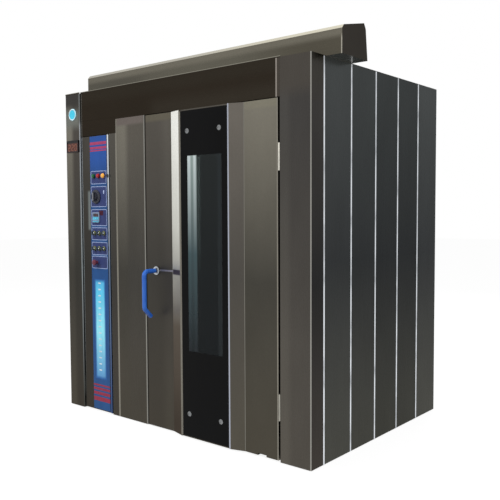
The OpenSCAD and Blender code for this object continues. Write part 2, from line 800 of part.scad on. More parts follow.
// Hinge leaf on a side face, with its own share of the knuckle
module hinge_part(z, x_face, x_dir, segments, solid) {
    seg = hinge_h / 3;
    for (s = segments) {
        z0 = z - hinge_h / 2 + s * seg + corner / 2;
        z1 = z0 + seg - corner;
        difference() {
            union() {
                z_rod(hinge_x, hinge_y, z0, z1, knuckle_r);
                block([min(x_face, hinge_x), hinge_y + knuckle_r - leaf_t, z0],
                      [max(x_face, hinge_x), hinge_y + knuckle_r, z1]);
            }
            if (!solid) z_rod(hinge_x, hinge_y, z0 - 1, z1 + 1, hinge_pin_r + running_fit);
        }
    }
    block([min(x_face, x_face + x_dir * leaf_t), hinge_y + knuckle_r - leaf_t / 3, z - hinge_h / 2],
          [max(x_face, x_face + x_dir * leaf_t), hinge_y + leaf_d, z + hinge_h / 2]);
}

module frame_hinges() color("silver") for (z = hinge_zs) {
    hinge_part(z, pillar_x - seat, -1, [0, 2], true);
    z_rod(hinge_x, hinge_y, z - hinge_h / 2, z + hinge_h / 2, hinge_pin_r);
}

module door_hinge_leaves() color("silver") for (z = hinge_zs)
    hinge_part(z, door_x1 + seat, 1, [1], false);

// ---- heating space and drives ----

module heater_bank() color([0.35, 0.30, 0.28]) {
    leg = 40;
    z0 = heater_z0;
    x_first = heat_x0 + heater_margin;
    step = (heat_x1 - heat_x0 - 2 * heater_margin) / (heater_count - 1);
    rows = [partition_y + heater_rows[0], partition_y + heater_rows[1]];
    block([x_first - 40, partition_y + seat, bracket_z],
          [heat_x1 - heater_margin + 40, rows[1] + 70, bracket_z + 5]);
    for (i = [0 : heater_count - 1], y = rows) translate([x_first + i * step, y, 0]) {
        for (dy = [-leg / 2, leg / 2]) translate([0, dy, z0]) cylinder(h = bracket_z + 18 - z0, r = heater_r);
        translate([0, 0, z0]) rotate([0, 0, 90]) rotate([-90, 0, 0])
            rotate_extrude(angle = 180) translate([leg / 2, 0]) circle(r = heater_r);
    }
}

module fan_motor() color([0.30, 0.36, 0.42]) {
    difference() {
        union() {
            z_rod(fan_x, fan_y, body_h, body_h + motor_flange_t, motor_flange_r);
            z_rod(fan_x, fan_y, body_h + motor_flange_t, body_h + motor_h, motor_r);
            for (a = [0 : 15 : 345]) translate([fan_x, fan_y, body_h + 40]) rotate([0, 0, a])
                translate([motor_r - 2, -2, 0]) cube([10, 4, motor_h - 85]);
            block([fan_x - 40, fan_y - motor_r - 30, body_h + 90], [fan_x + 40, fan_y - motor_r + 28, body_h + 150]);
        }
        z_rod(fan_x, fan_y, body_h - 1, body_h + motor_h / 2 + 2.5, fan_shaft_r + running_fit);
    }
}

module fan_wheel() color([0.62, 0.62, 0.60]) {
    z_rod(fan_x, fan_y, fan_z0 + 20, body_h + motor_h / 2 + 1.5, fan_shaft_r);
    z_rod(fan_x, fan_y, fan_z0 + fan_h - 50, fan_z0 + fan_h + fan_hub_h - 50, fan_hub_r);
    z_rod(fan_x, fan_y, fan_z0 + fan_h - 3, fan_z0 + fan_h, fan_r);
    difference() {
        z_rod(fan_x, fan_y, fan_z0, fan_z0 + 3, fan_r);
        z_rod(fan_x, fan_y, fan_z0 - 1, fan_z0 + 4, fan_intake_r);
    }
    for (i = [0 : blade_count - 1]) translate([fan_x, fan_y, fan_z0 + 1]) rotate([0, 0, i * 360 / blade_count])
        translate([fan_r - 8, 0, 0]) rotate([0, 0, 35]) translate([-62, -1.5, 0]) cube([62, 3, fan_h - 3]);
}

module steam_generator() color([0.42, 0.38, 0.34]) {
    y1 = chamber_y1 - seat;
    // two posts with a ladder of sloping drip shelves
    for (x = [steam_x0, steam_x0 + steam_w - 20])
        block([x, y1 - 70, floor_t + seat], [x + 20, y1, water_z + 40]);
    for (i = [0 : steam_steps - 1])
        translate([steam_x0 + 10, y1 - 68, steam_z0 + i * steam_pitch]) rotate([12, 0, 0])
            cube([steam_w - 20, 66, 5]);
    // water pipe from behind the oven to the spray bar
    difference() {
        union() {
            y_rod(water_x, water_z, y1 - 60, body_d + water_out, water_r);
            y_rod(water_x, water_z, body_d + water_out - water_fit_h, body_d + water_out, water_fit_r);
        }
        y_rod(water_x, water_z, body_d - 5, body_d + water_out + 1, water_r - 3);
    }
    x_rod(y1 - 45, water_z, steam_x0 + 5, steam_x0 + steam_w - 5, water_r - 2);
}

module vent_stack() color([0.66, 0.67, 0.68]) difference() {
    union() {
        z_rod(vent_x, vent_y, vent_z0, vent_z1, vent_r);
        z_rod(vent_x, vent_y, body_h, body_h + 3, vent_r + 40);
        z_rod(vent_x, vent_y, vent_z1 - vent_collar_h, vent_z1, vent_collar_r);
        x_rod(vent_y, damper_z, vent_x + vent_r - 3, vent_x + vent_r + 12, damper_shaft_r + 5);
    }
    z_rod(vent_x, vent_y, vent_z0 - 1, vent_z1 + 1, vent_r - vent_wall);
    x_rod(vent_y, damper_z, vent_x - vent_r - 1, vent_x + vent_r + 13, damper_shaft_r + running_fit);
}

module vent_damper() color([0.55, 0.52, 0.45]) {
    x_rod(vent_y, damper_z, vent_x - vent_r, vent_x + vent_r + 30, damper_shaft_r);
    z_rod(vent_x, vent_y, damper_z - 1, damper_z + 1, vent_r - vent_wall - 1.5);
    // lever with a round knob, and a weight on its other side that balances it
    block([vent_x + vent_r + 20, vent_y - 60, damper_z - 5], [vent_x + vent_r + 26, vent_y + 60, damper_z + 5]);
    for (dy = [-60, 60]) translate([vent_x + vent_r + 23, vent_y + dy, damper_z]) sphere(r = 9);
}

module rack_drive() color([0.28, 0.38, 0.50]) {
    difference() {
        union() {
            block([turn_x - drive_foot, turn_y - drive_foot, drive_z0],
                  [turn_x + drive_foot, turn_y + drive_foot, drive_z0 + drive_foot_t]);
            z_rod(turn_x, turn_y, drive_z0 + drive_foot_t, gearbox_z, 0.65 * gearbox_a);
            block([turn_x - gearbox_a, turn_y - gearbox_a, gearbox_z],
                  [turn_x + gearbox_a, turn_y + gearbox_a, gearbox_z + gearbox_h]);
            motor_x = turn_x - gearbox_a - drive_motor_l;
            x_rod(turn_y, gearbox_z + drive_motor_r, motor_x, turn_x - gearbox_a + 1, drive_motor_r);
            for (a = [0 : 20 : 340]) translate([motor_x + 15, turn_y, gearbox_z + drive_motor_r]) rotate([a, 0, 0])
                translate([0, -2, drive_motor_r - 2]) cube([0.7 * drive_motor_l, 4, 9]);
        }
        z_rod(turn_x, turn_y, drive_z0 - 1, shaft_z1 + 1, shaft_r + running_fit);
    }
    bolt_a = drive_foot - 20;
    for (x = [-bolt_a, bolt_a], y = [-bolt_a, bolt_a])
        z_rod(turn_x + x, turn_y + y, drive_z0 + drive_foot_t, drive_z0 + 2 * drive_foot_t, 9);
}

module switchgear_plate() color([0.80, 0.80, 0.78]) {
    x0 = panel_fold + 40;
    x1 = column_x1 - 30;
    y1 = partition_y - partition_t - seat;
    z1 = filler_z0 - plate_head;
    block([x0, y1 - plate_t, plate_z0], [x1, y1, z1]);
    // rails with contactors, a drive and a terminal row
    for (z = [z1 - 160 : -rail_pitch : plate_z0 + 100]) {
        block([x0 + 20, y1 - plate_t - 9, z - 17], [x1 - 20, y1 - plate_t + 1, z + 17]);
        for (i = [0 : 4]) block([x0 + 40 + i * device_pitch, y1 - device_d, z - 42],
                                [x0 + 20 + (i + 1) * device_pitch, y1 - plate_t - 8, z + 42]);
    }
}

module chamber_lamp() color([0.85, 0.95, 0.92]) {
    y0 = partition_y - lamp_box[1] - lamp_inset;
    z0 = lamp_z0;
    z1 = rack_top;
    x0 = chamber_x0 + seat;
    block([x0, y0, z0], [x0 + lamp_box[0], y0 + lamp_box[1], z1]);
    for (y = [y0 + 22, y0 + lamp_box[1] - 22]) {
        z_rod(x0 + lamp_box[0] + 12, y, z0 + 12, z1 - 12, lamp_tube_r);
        for (z = [z0 + 4, z1 - 24]) block([x0 + lamp_box[0] - 1, y - lamp_tube_r - 2, z],
                                          [x0 + lamp_box[0] + 23, y + lamp_tube_r + 2, z + 20]);
    }
}

module badge() color([0.45, 0.80, 0.90]) {
    y_rod(pillar_left_w / 2, badge_z, -2, -seat, badge_r);
    y_rod(pillar_left_w / 2, badge_z, -3.5, -2, badge_r - 4);
}

module number_display() color([0.08, 0.07, 0.08]) {
    x0 = (pillar_left_w - display_w) / 2 + 2;
    z0 = display_z - display_h / 2;
    difference() {
        face_plate(x0, z0, display_w, display_h, -9, -seat, 4);
        face_plate(x0 + 9, z0 + 9, display_w - 18, display_h - 18, -10, -7, 2);
    }
}

// ---- access door with its controls ----

// Round hole for a 22 mm switch body through the access door and the overlay
module switch_hole(x, z, r) y_rod(x, z, overlay_y - 1, front_y + sheet_t + 1, r);

module control_holes() {
    for (i = [-1 : 1]) {
        switch_hole(switch_x + i * switch_pitch, lamp_z, switch_hole_r + seat);
        for (z = selector_zs) switch_hole(switch_x + i * switch_pitch, z, switch_hole_r + seat);
    }
    switch_hole(dial_x, timer_z, 8);
    switch_hole(dial_x, stop_z, switch_hole_r + seat);
    block([dial_x - controller_a / 2 + 2, overlay_y - 1, controller_z - controller_a / 2 + 2],
          [dial_x + controller_a / 2 - 2, front_y + sheet_t + 1, controller_z + controller_a / 2 - 2]);
}

module control_door() color([0.36, 0.35, 0.32]) {
    y1 = front_y + sheet_t;
    fold_y = front_y + access_fold;
    difference() {
        union() {
            translate([0, 0, access_z0]) linear_extrude(access_z1 - access_z0)
                polygon([[access_x0, front_y], [edge_x0, front_y], [access_x1 - 1.5, front_y - access_edge_out],
                         [access_x1, front_y - access_edge_out], [access_x1, fold_y], [access_x1 - sheet_t, fold_y],
                         [access_x1 - sheet_t, y1 - access_edge_out + 1], [edge_x0, y1], [access_x0, y1]]);
            for (z = [access_z0, access_z1 - sheet_t])
                block([access_hinge_x + 12, front_y, z], [access_x1, fold_y, z + sheet_t]);
        }
        control_holes();
        y_rod(lock_x, lock_z, front_y - 12, front_y + 12, lock_r + 0.3);
    }
    // knuckles on short webs
    for (z = access_hinge_zs) difference() {
        union() {
            z_rod(access_hinge_x, access_hinge_y, z, z + access_hinge_h, access_boss_r);
            block([access_hinge_x - 1, y1 - 0.5, z], [access_hinge_x + 3, access_hinge_y, z + access_hinge_h]);
        }
        z_rod(access_hinge_x, access_hinge_y, z - 1, z + access_hinge_h + 1, access_pin_r + running_fit);
    }
}

module control_overlay() color([0.18, 0.32, 0.60]) difference() {
    block([overlay_x0, overlay_y, overlay_z0], [overlay_x1, front_y, overlay_z1]);
    control_holes();
}

module indicator_lamps() for (i = [-1 : 1]) color([["green", "red", "orange"][i + 1]][0]) {
    x = switch_x + i * switch_pitch;
    y_rod(x, lamp_z, overlay_y - 5, overlay_y - seat, lamp_r + 2);
    y_rod(x, lamp_z, overlay_y - 13, overlay_y - 5, lamp_r - 1);
    translate([x, overlay_y - 13, lamp_z]) rotate([90, 0, 0]) intersection() {
        translate([0, 0, -14]) sphere(r = 19);
        cylinder(h = 10, r = lamp_r - 1);
    }
    y_rod(x, lamp_z, overlay_y - 1, front_y + switch_depth, switch_hole_r);
}

module temp_controller() color([0.75, 0.80, 0.84]) {
    a = controller_a;
    x0 = dial_x - a / 2;
    z0 = controller_z - a / 2;
    difference() {
        face_plate(x0, z0, a, a, overlay_y - 8, overlay_y - seat, 4);
        face_plate(x0 + 8, z0 + a * 0.56, a - 16, a * 0.30, overlay_y - 9, overlay_y - 6.5, 2);
    }
    for (i = [0 : 3]) face_plate(x0 + 8 + i * 14.5, z0 + 10, 11, 9, overlay_y - 9, overlay_y - 7.5, 2);
    block([x0 + 3, overlay_y - 1, z0 + 3], [x0 + a - 3, front_y + 78, z0 + a - 3]);
}

// Barrel with a slotted face, and a cam that hangs down when the lock is open
module control_lock() color([0.10, 0.10, 0.10]) {
    difference() {
        union() {
            y_rod(lock_x, lock_z, front_y - 12, front_y - 7, lock_r + 2.5);
            y_rod(lock_x, lock_z, front_y - 8, front_y + access_fold + 6, lock_r - 0.2);
        }
        block([lock_x - 1.2, front_y - 13, lock_z - 5], [lock_x + 1.2, front_y - 10, lock_z + 5]);
    }
    block([lock_x - 6, front_y + access_fold + 3, lock_z - 28], [lock_x + 6, front_y + access_fold + 6, lock_z]);
}

// Dial disc with a bar grip across it, on a spindle
module timer_knob() color([0.08, 0.08, 0.09]) {
    y_rod(dial_x, timer_z, overlay_y - 7, overlay_y - 1.5, timer_r);
    y_rod(dial_x, timer_z, overlay_y - 18, overlay_y - 6, timer_r * 0.5);
    face_plate(dial_x - 7, timer_z - timer_r * 0.68, 14, timer_r * 1.36, overlay_y - 30, overlay_y - 6, 6.9);
    y_rod(dial_x, timer_z, overlay_y - 2, front_y + 30, 8 - running_fit);
}

// Selector switch: bezel, barrel behind the door and a bar grip
module selector(i) color([0.12, 0.12, 0.12]) {
    x = switch_x + ((i - 1) % 3 - 1) * switch_pitch;
    z = selector_zs[floor((i - 1) / 3)];
    y_rod(x, z, overlay_y - 6, overlay_y - seat, selector_r);
    y_rod(x, z, overlay_y - 14, overlay_y - 5, selector_r - 3);
    face_plate(x - 4, z - selector_r + 2, 8, 2 * selector_r - 4, overlay_y - 26, overlay_y - 13, 3.9);
    y_rod(x, z, overlay_y - 1, front_y + switch_depth, switch_hole_r);
}

module stop_button() color([0.80, 0.10, 0.12]) {
    // mushroom head on a stem
    y_rod(dial_x, stop_z, overlay_y - 30, overlay_y - 22, stop_r);
    translate([dial_x, overlay_y - 30, stop_z]) rotate([90, 0, 0]) intersection() {
        translate([0, 0, -38]) sphere(r = 42.94);
        cylinder(h = 10, r = stop_r - 0.01);
    }
    y_rod(dial_x, stop_z, overlay_y - 23, front_y + switch_depth - 8, switch_hole_r);
}

// ---- door ----

// Section of the door's outer skin: flats, bevels, a rim and the seat of the glass
module door_section(filled) {
    bx = [door_cx - raised_w / 2, door_cx - glass_w / 2 - glass_rim, door_cx - glass_w / 2,
          door_cx + glass_w / 2, door_cx + glass_w / 2 + glass_rim, door_cx + raised_w / 2];
    t = sheet_t;
    outer = [[door_x0, door_y1], [door_x0, front_y], [bx[0], front_y], [bx[1], raised_y], [bx[2], raised_y],
             [bx[2], seat_y], [bx[3], seat_y], [bx[3], raised_y], [bx[4], raised_y], [bx[5], front_y],
             [door_x1, front_y], [door_x1, door_y1]];
    inner = [[door_x1 - t, door_y1], [door_x1 - t, front_y + t], [bx[5], front_y + t], [bx[4], seat_y + t],
             [bx[1], seat_y + t], [bx[0], front_y + t], [door_x0 + t, front_y + t], [door_x0 + t, door_y1]];
    if (filled) polygon(outer);
    else polygon(concat(outer, inner));
}

module door_outer_skin() color([0.38, 0.37, 0.34]) difference() {
    union() {
        translate([0, 0, door_foot]) linear_extrude(door_z1 - door_foot) door_section(false);
        for (z = [door_foot, door_z1 - sheet_t]) translate([0, 0, z]) linear_extrude(sheet_t) door_section(true);
    }
    // window behind the glass
    block([door_cx - window_w / 2, raised_y, window_z0], [door_cx + window_w / 2, front_y + sheet_t + 1, window_z1]);
    // drain notch in the lower edge
    block([door_x1 - notch_x - notch_w / 2, front_y - 1, door_foot - 1],
          [door_x1 - notch_x + notch_w / 2, front_y + sheet_t + 20, door_foot + notch_h]);
    // spindle and bolt pass through
    y_rod(spindle_x, handle_z, front_y - 1, front_y + sheet_t + 1, spindle_r + running_fit);
    x_rod(bolt_y, bolt_z, door_x0 - 1, door_x0 + sheet_t + 1, bolt_r + seat);
    for (x = [-1, 1], z = [screw_z0, screw_z1])
        y_rod(door_cx + x * screw_pitch / 2, z, seat_y - 1, seat_y + sheet_t + 1, 4 + seat);
}

module door_inner_skin() color([0.62, 0.62, 0.60]) {
    x0 = door_x0 + sheet_t + seat;
    x1 = door_x1 - sheet_t - seat;
    z0 = door_foot + sheet_t + seat;
    z1 = door_z1 - sheet_t - seat;
    wx0 = door_cx - window_w / 2;
    wx1 = door_cx + window_w / 2;
    t = sheet_t;
    difference() {
        union() {
            block([x0, liner_y, z0], [x1, door_y1, z1]);
            block([wx0 - t, reveal_y0, window_z0 - t], [wx1 + t, liner_y + 1, window_z1 + t]);
        }
        block([wx0, reveal_y0 - 1, window_z0], [wx1, door_y1 + 1, window_z1]);
    }
    // bars that hold the inner glass
    for (x = [wx0 - clip_w - 6, wx1 + 6])
        block([x, door_y1 - 1, window_z0 - 20], [x + clip_w, door_y1 + clip_h, window_z1 + 20]);
    for (z = [window_z0 - clip_w - 6, window_z1 + 6])
        block([wx0 - 20, door_y1 - 1, z], [wx1 + 20, door_y1 + clip_h, z + clip_w]);
}

module door_insulation() color("khaki") {
    y0 = front_y + sheet_t + seat;
    y1 = liner_y - seat;
    x0 = door_x0 + sheet_t + seat;
    x1 = door_x1 - sheet_t - seat;
    z0 = door_foot + sheet_t + notch_h;
    z1 = door_z1 - sheet_t - seat;
    wx0 = door_cx - window_w / 2 - sheet_t - seat;
    wx1 = door_cx + window_w / 2 + sheet_t + seat;
    // beside, under and over the window
    difference() {
        block([x0, y0, z0], [wx0, y1, z1]);
        block([x0 - 1, y0 - 1, handle_z - 30], [spindle_x + 60, y1 + 1, bolt_z + 30]);
    }
    block([wx1, y0, z0], [x1, y1, z1]);
    block([wx0 + corner, y0, z0], [wx1 - corner, y1, window_z0 - sheet_t - seat]);
    block([wx0 + corner, y0, window_z1 + sheet_t + seat], [wx1 - corner, y1, z1]);
}

module door_glass_outer() color([0.05, 0.06, 0.06]) difference() {
    block([door_cx - glass_w / 2 + seat, raised_y, glass_z0], [door_cx + glass_w / 2 - seat, raised_y + glass_t, glass_z1]);
    for (x = [-1, 1], z = [screw_z0, screw_z1])
        y_rod(door_cx + x * screw_pitch / 2, z, raised_y - 1, raised_y + glass_t + 1, 4 + seat);
}

module door_glass_inner() color([0.55, 0.65, 0.62, 0.5])
    block([door_cx - window_w / 2 - 6 + seat, door_y1 + seat, window_z0 - 6 + seat],
          [door_cx + window_w / 2 + 6 - seat, door_y1 + seat + inner_glass_t, window_z1 + 6 - seat]);

module door_gasket() color([0.20, 0.18, 0.18]) {
    inset = 22;
    x0 = open_x0 - inset - gasket_w;
    x1 = open_x1 + inset + gasket_w - 4;
    z0 = door_foot + 4;
    z1 = open_z1 + inset + gasket_w;
    translate([0, jamb_y - seat, 0]) rotate([90, 0, 0]) linear_extrude(jamb_y - seat - door_y1 - seat) difference() {
        translate([x0, z0]) round_rect(x1 - x0, z1 - z0, 20);
        translate([x0 + gasket_w, z0 + gasket_w]) round_rect(x1 - x0 - 2 * gasket_w, z1 - z0 - 2 * gasket_w, 8);
    }
}

module glass_screws() color([0.85, 0.86, 0.88]) {
    dome_r = (screw_r * screw_r + screw_h * screw_h) / (2 * screw_h);
    for (x = [-1, 1], z = [screw_z0, screw_z1]) translate([door_cx + x * screw_pitch / 2, raised_y - seat, z])
        rotate([90, 0, 0]) difference() {
            union() {
                intersection() {
                    translate([0, 0, screw_h - dome_r]) sphere(r = dome_r);
                    cylinder(h = screw_h, r = screw_r);
                }
                translate([0, 0, -glass_t - sheet_t - 6]) cylinder(h = glass_t + sheet_t + 7, r = 4);
            }
            translate([0, 0, screw_h - 3]) cylinder(h = 4, r = 4.5, $fn = 6);
        }
}

module latch_bolt() color("silver") {
    slot_x = spindle_x - crank_x;
    difference() {
        union() {
            x_rod(bolt_y, bolt_z, door_x0 - bolt_out, slot_x - 14, bolt_r);
            block([slot_x - 22, bolt_y - bolt_tail_t / 2, bolt_tail_z0],
                  [slot_x + crank_pin_r + 8, bolt_y + bolt_tail_t / 2, bolt_z + bolt_r + 3]);
        }
        // fork that the crank pin moves in
        block([slot_x - crank_pin_r - pin_slot_clear, bolt_y - bolt_tail_t, bolt_tail_z0 - 1],
              [slot_x + crank_pin_r + pin_slot_clear, bolt_y + bolt_tail_t,
               handle_z + crank_r + crank_pin_r + 1]);
        // flat on the bolt's lower side clears the spindle
        block([slot_x - 24, bolt_y - bolt_r - 1, bolt_z - bolt_r - 1], [slot_x, bolt_y + bolt_r + 1, bolt_tail_z0]);
    }
}

// Path of the handle rod or of a tube round it: out of the door, down, and its end turned back in
module handle_path(r, bore, start, tail) {
    out = front_y - handle_out;
    z_low = handle_z - handle_bend - grip_len;
    translate([spindle_x, start, handle_z]) rotate([90, 0, 0])
        linear_extrude(start - out - handle_bend) rod_section(r, bore);
    rod_bend(out + handle_bend, handle_z - handle_bend, 90, 90, r, bore);
    translate([spindle_x, out, z_low]) linear_extrude(grip_len) rod_section(r, bore);
    rod_bend(out + handle_bend, z_low, 180, 45, r, bore);
    translate([spindle_x, out + handle_bend * (1 - cos(45)), z_low - handle_bend * sin(45)])
        rotate([-135, 0, 0]) linear_extrude(tail) rod_section(r, bore);
}

module rod_section(r, bore) difference() {
    circle(r = r);
    if (bore > 0) circle(r = bore);
}

// Bend of the rod about a centre, from one angle in the YZ plane through a turn
module rod_bend(y, z, from, turn, r, bore) translate([spindle_x, y, z]) rotate([90, 0, 90])
    rotate([0, 0, from]) rotate_extrude(angle = turn) translate([handle_bend, 0])
        rod_section(r - bend_draw, bore > 0 ? bore + bend_draw : 0);

module handle_lever() color([0.80, 0.82, 0.84]) {
    y_back = bolt_y + bolt_tail_t / 2 + 10;
    handle_path(rod_r, 0, front_y - 21, grip_tail + 3);
    // stepped hub against the door
    y_rod(spindle_x, handle_z, front_y - 10, front_y - seat, hub_r);
    y_rod(spindle_x, handle_z, front_y - 22, front_y - 9, hub_r * 0.72);
    // spindle, crank web and crank pin
    y_rod(spindle_x, handle_z, front_y - 1, y_back, spindle_r);
    y_rod(spindle_x - crank_x, handle_z + crank_r * cos(crank_lead), bolt_y - bolt_tail_t / 2 - 2, y_back - 1,
          crank_pin_r);
    translate([spindle_x, y_back - 6, handle_z]) rotate([0, -crank_lead, 0])
        translate([-crank_pin_r - 2, 0, 0]) cube([2 * crank_pin_r + 4, 5, crank_r + crank_pin_r + 1]);
}

module handle_sleeve() color([0.27, 0.51, 0.86])
    handle_path(rod_r + sleeve_t, rod_r + seat / 3, front_y - 24, grip_tail);

// ---- rack ----

module rack_hanger() color([0.60, 0.62, 0.64]) {
    z_rod(turn_x, turn_y, beam_z + 1, shaft_z1, shaft_r);
    z_rod(turn_x, turn_y, beam_z + beam_h, hub_z1, 34);
    block([turn_x - lug_x - 24, turn_y - 24, beam_z], [turn_x + lug_x + 24, turn_y + 24, beam_z + beam_h]);
    // hooks: a strap outside each lug and a lip under it
    for (s = [-1, 1]) {
        xa = turn_x + s * (lug_x + 16);
        xb = turn_x + s * (lug_x + 24);
        xc = turn_x + s * (lug_x - 12);
        lip_z = lug_z - lug_r - seat;
        block([min(xa, xb), turn_y - 24, lip_z - 8], [max(xa, xb), turn_y + 24, beam_z + 1]);
        block([min(xc, xb), turn_y - 24, lip_z - 8], [max(xc, xb), turn_y + 24, lip_z]);
    }
}

// Fork of a caster: two legs, a plate above them and the axle, its wheel's middle at the origin
module caster_fork(plate_w) {
    leg_x = wheel_w / 2 + 3;
    top = fork_plate_z - axle_z;
    for (s = [-1, 1]) {
        block([min(s * leg_x, s * (leg_x + 4)), -14, -12], [max(s * leg_x, s * (leg_x + 4)), 14, top + 1]);
    }
    x_rod(0, 0, -leg_x - 6, leg_x + 6, axle_r);
    block([-plate_w / 2, -22, top], [plate_w / 2, 22, top + caster_plate_t]);
}

module rack_frame() color([0.66, 0.67, 0.68]) translate([turn_x, turn_y, 0]) {
    hx = rack_w / 2;
    hy = rack_d / 2;
    ix = hx - tube_a;
    iy = hy - tube_a;
    low_z = [rail_z, rack_top - tube_a];
    // corner uprights
    for (x = [-hx, ix], y = [-hy, iy]) bar([x, y, rail_z], [x + tube_a, y + tube_a, rack_top], 2);
    // lower and upper rails
    for (z = low_z) {
        for (y = [-hy, iy]) bar([seat - ix, y, z], [ix - seat, y + tube_a, z + tube_a], 0);
        for (x = [-hx, ix]) bar([x, seat - iy, z], [x + tube_a, iy - seat, z + tube_a], 1);
    }
    // top rails that carry the lugs
    for (s = [-1, 1]) {
        bar([s * lug_x - tube_a / 2, seat - iy, rack_top - tube_a],
            [s * lug_x + tube_a / 2, iy - seat, rack_top], 1);
        for (y = [-40, 34])
            block([s * lug_x - lug_r - 3, y, rack_top + seat], [s * lug_x + lug_r + 3, y + 6, lug_z + lug_r + 3]);
        y_rod(s * lug_x, lug_z, -40, 40, lug_r);
    }
    // tray runners: angles on the inner faces of the uprights
    for (i = [0 : levels - 1], s = [-1, 1]) {
        z = level_z0 + i * level_pitch;
        xw = s * (ix - seat);
        block([min(xw, xw - s * runner_w), -hy, z - runner_t], [max(xw, xw - s * runner_w), hy, z]);
        block([min(xw, xw - s * runner_t), -hy, z - runner_t], [max(xw, xw - s * runner_t), hy, z + 14]);
    }
    // caster plates, with a bore for each swivel kingpin, and the fixed rear forks
    for (x = [-caster_x, caster_x], y = [-caster_y, caster_y]) difference() {
        union() {
            block([x - 45, y - 45, rail_z - caster_plate_t], [x + 45, y + 45, rail_z - seat]);
            block([min(x, sign(x) * hx), min(y, sign(y) * hy), rail_z - caster_plate_t],
                  [max(x, sign(x) * hx), max(y, sign(y) * hy), rail_z - seat]);
        }
        if (y < 0) z_rod(x, y, rail_z - caster_plate_t - 1, rail_z + 1, kingpin_r + running_fit);
    }
    for (x = [-caster_x, caster_x]) translate([x, caster_y, axle_z]) caster_fork(60);
}

module baking_trays() color([0.75, 0.75, 0.76]) for (i = [0 : 2 : levels - 1])
    translate([turn_x - tray_w / 2, turn_y - tray_d / 2, level_z0 + i * level_pitch + seat / 3])
        tray_panel([0, 0, 0], [tray_w, tray_d, tray_h], tray_t, [0, 0, 1]);

// Swivel fork below a kingpin; its wheel trails towards the back
module swivel_fork(s) color([0.70, 0.71, 0.72]) translate([turn_x + s * caster_x, turn_y - caster_y, 0]) {
    difference() {
        union() {
            z_rod(0, 0, fork_plate_z, fork_plate_z + caster_plate_t - seat, 36);
            z_rod(0, 0, fork_plate_z + 1, rail_z + 3, kingpin_r);
            translate([0, caster_trail, axle_z]) caster_fork(2 * (wheel_w / 2 + 7));
            for (t = [-1, 1]) block([t > 0 ? wheel_w / 2 + 3 : -wheel_w / 2 - 7, -16, fork_plate_z - 14],
                                    [t > 0 ? wheel_w / 2 + 7 : -wheel_w / 2 - 3, caster_trail, fork_plate_z + 1]);
        }
        block([-60, -60, fork_plate_z + caster_plate_t - seat], [-kingpin_r - 0.01, 60, fork_plate_z + 20]);
        block([kingpin_r + 0.01, -60, fork_plate_z + caster_plate_t - seat], [60, 60, fork_plate_z + 20]);
        block([-60, kingpin_r + 0.01, fork_plate_z + caster_plate_t - seat], [60, 90, fork_plate_z + 20]);
    }
}

// Wheel with a flat tread, rounded edges and a bored hub
module wheel(s, t) color([0.20, 0.20, 0.21])
    translate([turn_x + s * caster_x, turn_y + t * caster_y + (t < 0 ? caster_trail : 0), axle_z])
        rotate([0, 90, 0]) rotate_extrude() translate([0, -wheel_w / 2]) {
            edge = 5;
            translate([axle_r + running_fit, 0]) square([12, wheel_w]);
            translate([12, 5]) square([wheel_r - 24, wheel_w - 10]);
            translate([wheel_r - 14, 0]) square([14 - edge, wheel_w]);
            translate([wheel_r - edge - 1, edge]) square([edge + 1, wheel_w - 2 * edge]);
            for (y = [edge, wheel_w - edge]) translate([wheel_r - edge, y]) circle(r = edge);
        }

in_frame() base_frame();
in_frame() chamber_floor();
in_frame() left_pillar();
in_frame() right_pillar();
in_frame() header_panel();
in_frame() fixed_front_panels();
in_frame() side_panels();
in_frame() back_panels();
in_frame() roof_panels();
in_frame() seam_strips();
in_frame() roof_duct();
in_frame() wall_insulation();
in_frame() chamber_liner();
in_frame() air_wall();
in_frame() jamb_frame();
in_frame() heater_bank();
in_frame() fan_motor();
in_frame() steam_generator();
in_frame() vent_stack();
in_frame() rack_drive();
in_frame() switchgear_plate();
in_frame() chamber_lamp();
in_frame() badge();
in_frame() number_display();
in_frame() frame_hinges();
in_frame() control_door();
in_frame() control_overlay();
in_frame() indicator_lamps();
in_frame() temp_controller();
in_frame() control_lock();
in_frame() timer_knob();
for (i = [1 : 6]) in_frame() selector(i);
in_frame() stop_button();
in_frame() door_outer_skin();
in_frame() door_inner_skin();
in_frame() door_insulation();
in_frame() door_glass_outer();
in_frame() door_glass_inner();
in_frame() door_gasket();
in_frame() glass_screws();
in_frame() door_hinge_leaves();
in_frame() latch_bolt();
in_frame() handle_lever();
in_frame() handle_sleeve();
in_frame() fan_wheel();
in_frame() vent_damper();
in_frame() rack_hanger();
in_frame() rack_frame();
in_frame() baking_trays();
in_frame() swivel_fork(-1);  // swivel_fork_left
in_frame() swivel_fork(1);  // swivel_fork_right
in_frame() wheel(-1, -1);  // wheel_front_left
in_frame() wheel(1, -1);  // wheel_front_right
in_frame() wheel(-1, 1);  // wheel_rear_left
in_frame() wheel(1, 1);  // wheel_rear_right
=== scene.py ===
"""Rotating rack oven: the finishes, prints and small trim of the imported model, its stage and its camera.

Lengths in the tables below are millimetres from the front left corner of the oven's footprint, X to the
right, Y to the back, Z up; at() turns them into metres in the shared frame.
"""

import math

import bpy
import numpy as np
from mathutils import Matrix, Vector


